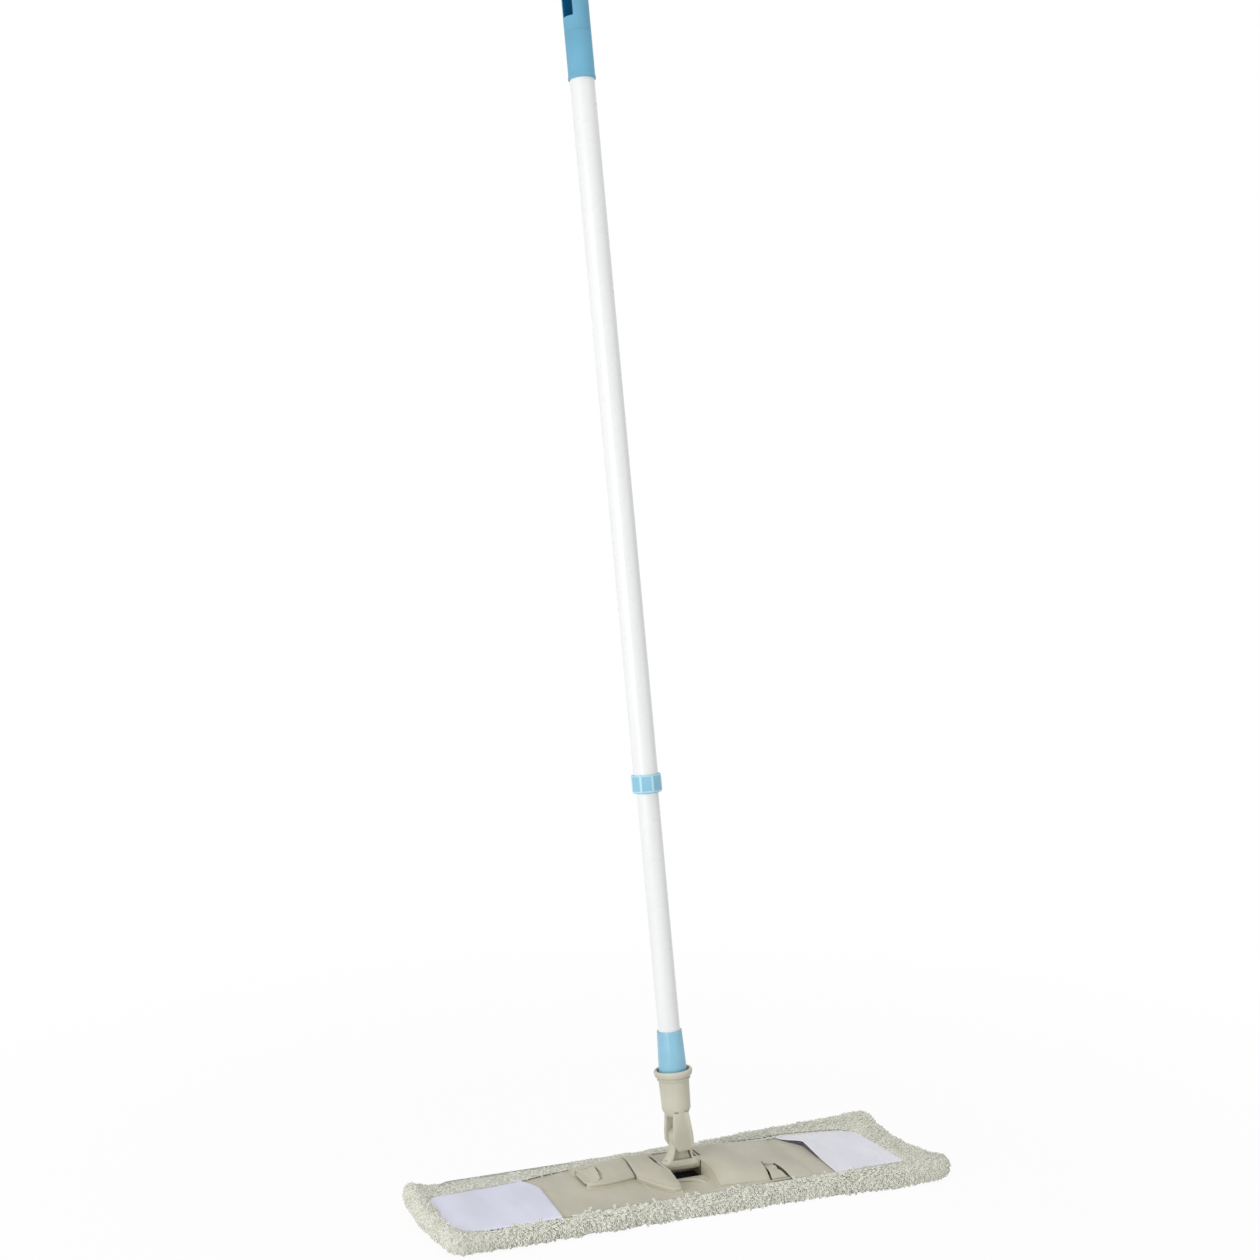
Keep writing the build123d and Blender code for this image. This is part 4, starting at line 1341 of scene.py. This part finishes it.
loop_kinds = bpy.data.collections.new("loop_kinds")
for kind, (span, height, yarn) in enumerate(loop_sizes):
    loop_kinds.objects.link(loop_template(f"loop_{kind}", span * mm, height * mm, yarn * mm))
pad_half("left", -1, ("pad_left", "pad_fold_left", "pad_middle"))
pad_half("right", 1, ("pad_right", "pad_fold_right", "pad_middle"))
for loop in list(loop_kinds.objects):
    bpy.data.objects.remove(loop)
bpy.data.collections.remove(loop_kinds)

# Pockets: satin stretched over the ends of the plate and sewn into the rim; mouths as (y, x), in mm
left_mouth = ((-60, -134), (0, -130), (8, -129), (20, -133), (30, -139), (56, -146))
right_mouth = (
    (-66, 125), (-24, 127.8), (0, 129.3), (12, 130.3), (20, 126.5), (33.4, 118.2), (56, 110),
)
mouth_back = 34.0
sewn_in = 4.0
sewn_front = 0.4
front_from = 0.6
left_end = foot_corners[3][0] * mm - 2 * mm
right_end = foot_corners[2][0] * mm + 6 * mm
cloth_thick = 0.7 * mm
cloth_rise = 0.6 * mm
cloth_steps = 64
front_drop = 1.4 * mm
drop_from = 0.5 * mm
drop_fade = 4 * mm
hem_rise = 0.35 * mm
hem_share = 0.09
wave_height = 0.3 * mm
wave_x = 26
wave_y = 18
wave_layer = 3.0

# Lifted mouth of the right pocket: its highest place, its reach to both sides and into the cloth
lift_middle = 12.0 * mm
lift_back = 14.0 * mm
lift_front = 32.0 * mm
lift_height = 3.4 * mm
lift_share = 0.34

# Dark rod of painted shadow under the lifted mouth, and the knotted binding behind the right pocket
under_radius = 1.5 * mm
under_set = 1.2 * mm
under_rise = 0.1 * mm
under_follow = 0.95
under_span = (34 * mm, -20 * mm)
under_steps = 24
binding_span = (2.02, 2.34)
binding_radius = 1.1 * mm
binding_rise = 0.8 * mm
binding_set = 2.2 * mm
knot = 0.5 * mm


def mouth_lift(y):
    """How far a lifted mouth stands up at a y, as a share."""
    reach = lift_back if y > lift_middle else lift_front
    return math.exp(-(((y - lift_middle) / reach) ** 2))


def cloth_height(x, y, inside, lift):
    """Height of the cloth at a place, for the share that the place lies inside the mouth."""
    z = plate_top + cloth_rise - front_drop * fade((plate_low.y + drop_from - y) / drop_fade)
    z += hem_rise * (1 - fade(inside / hem_share))
    z += wave_height * noise.noise(Vector((x * wave_x, y * wave_y, wave_layer)))
    return z + lift * mouth_lift(y) * (1 - fade(inside / lift_share)) ** 2


def pocket(side, mouth, end, lift, finish):
    """One pocket, from its mouth to the end of the plate; lift raises the mouth near its back."""
    bm = bmesh.new()
    bm.loops.layers.uv.new("UVMap")
    bmesh.ops.create_grid(
        bm, x_segments=cloth_steps, y_segments=cloth_steps, size=0.5, calc_uvs=True
    )
    for vertex in bm.verts:
        inside, backward = vertex.co.x + 0.5, vertex.co.y + 0.5
        back_x = along(mouth, mouth_back) * (1 - inside) + end / mm * inside
        back = (along(foot_back, back_x) + sewn_in) * mm
        front_x = end / mm * (front_from + (1 - front_from) * inside)
        front = (along(foot_front, front_x) - sewn_front) * mm
        y = front + (back - front) * backward
        x = along(mouth, y / mm) * mm
        x += (end - x) * inside
        vertex.co = (x, y, cloth_height(x, y, inside, lift))
    bmesh.ops.recalc_face_normals(bm, faces=bm.faces)
    piece = link_piece(f"pocket_{side}", mesh_of(bm, f"pocket_{side}"), finish)
    cloth = piece.modifiers.new("cloth", "SOLIDIFY")
    cloth.thickness = cloth_thick
    cloth.offset = 0.0
    stand_for(piece, "satin", f"wing_{side}", f"{side}_pocket")


def binding_path():
    """Knotted line along the foot of the rim behind the right pocket."""
    path = []
    for place, share in foot_ring():
        if within(share, binding_span):
            height = plate_top + binding_rise + knot * (len(path) % 2)
            path.append((place.x, place.y - binding_set, height))
    return path


def mouth_shadow_path(mouth, lift):
    """Line below the edge of a lifted mouth, for a dark rod of painted shadow under it."""
    path = []
    for y in steps_between(*under_span, under_steps):
        top = plate_top + under_rise + under_follow * lift * mouth_lift(y)
        path.append((along(mouth, y / mm) * mm + under_set, y, top - under_radius))
    return path


pocket("left", left_mouth, left_end, 0.0, satin)
pocket("right", right_mouth, right_end, lift_height, satin_painted_light_right)
rod("binding_right", binding_path(), binding_radius, "wing_right", thread, "satin")
mouth_shadow_line = mouth_shadow_path(right_mouth, lift_height)
rod("mouth_fold_right", mouth_shadow_line, under_radius, "wing_right", painted_mouth_shadow, "satin")

# Floor, light and camera
floor_half = 8.0
floor_colour = (0.9, 0.9, 0.9, 1.0)
floor_glow = 0.94
shadow_near = 0.35
shadow_far = 1.0
sky_colour = (1.0, 1.0, 1.0, 1.0)
sky_light = 0.47
sky_seen = 1.0


def seen_rays(tree):
    """1 for rays that show the background: from the camera, off gloss and through clear pieces."""
    path = add_node(tree, "ShaderNodeLightPath").outputs
    seen = path["Is Camera Ray"]
    for kind in ("Is Glossy Ray", "Is Transmission Ray"):
        either = add_node(tree, "ShaderNodeMath", {0: seen, 1: path[kind]}, operation="MAXIMUM")
        seen = either.outputs["Value"]
    return seen


def white_floor(name):
    """White floor: a glow for seen rays under a diffuse coat that takes the shadow near the mop."""
    material = bpy.data.materials.new(name)
    material.use_nodes = True
    tree = material.node_tree
    tree.nodes.remove(tree.nodes["Principled BSDF"])

    def add(kind, inputs=None, **settings):
        return add_node(tree, kind, inputs, **settings).outputs

    place = add("ShaderNodeTexCoord")["Object"]
    away = add("ShaderNodeVectorMath", {0: place}, operation="LENGTH")["Value"]
    fall = {"From Min": shadow_near, "From Max": shadow_far, "To Min": floor_glow}
    strength = add("ShaderNodeMapRange", {"Value": away, **fall})["Result"]
    share = add("ShaderNodeMath", {0: seen_rays(tree), 1: strength}, operation="MULTIPLY")["Value"]
    diffuse = add("ShaderNodeBsdfDiffuse", {"Color": floor_colour})["BSDF"]
    glow = add("ShaderNodeEmission")["Emission"]
    mix = add("ShaderNodeMixShader", {"Fac": share, 1: diffuse, 2: glow})["Shader"]
    tree.links.new(mix, tree.nodes["Material Output"].inputs["Surface"])
    return material


floor_mesh = bpy.data.meshes.new("floor")
floor_bm = bmesh.new()
bmesh.ops.create_grid(floor_bm, x_segments=1, y_segments=1, size=floor_half)
floor_bm.to_mesh(floor_mesh)
floor_bm.free()
floor = link_piece("floor", floor_mesh, white_floor("floor_white"))

scene.view_settings.view_transform = "Standard"
world = bpy.data.worlds.new("studio")
scene.world = world
world.use_nodes = True
sky = world.node_tree.nodes["Background"]
sky.inputs["Color"].default_value = sky_colour
levels = {"Value": seen_rays(world.node_tree), "To Min": sky_light, "To Max": sky_seen}
level = add_node(world.node_tree, "ShaderNodeMapRange", levels)
world.node_tree.links.new(level.outputs["Result"], sky.inputs["Strength"])


def soft_box(name, place, aim, size, power):
    """Large studio lamp turned towards a point."""
    lamp = bpy.data.lights.new(name, "AREA")
    lamp.size = size
    lamp.energy = power
    holder = bpy.data.objects.new(name, lamp)
    scene.collection.objects.link(holder)
    holder.location = place
    holder.rotation_euler = (Vector(aim) - Vector(place)).to_track_quat("-Z", "Y").to_euler()


soft_box("key_light", (-2.0, -1.1, 0.75), aim=(0.0, 0.0, 0.4), size=1.1, power=24.0)
soft_box("top_light", (0.1, -0.2, 2.6), aim=(0.0, 0.0, 0.0), size=1.2, power=10.5)
soft_box("fill_light", (1.8, -1.6, 0.9), aim=(0.0, 0.0, 0.4), size=1.2, power=3.8)

camera = bpy.data.cameras.new("camera")
camera.lens = camera_lens
camera.sensor_width = camera_sensor
camera_holder = bpy.data.objects.new("camera", camera)
scene.collection.objects.link(camera_holder)
camera_holder.location = camera_place
camera_holder.rotation_euler = (
    math.radians(90.0 - camera_dip),
    0.0,
    math.radians(-camera_turn),
)
scene.camera = camera_holder
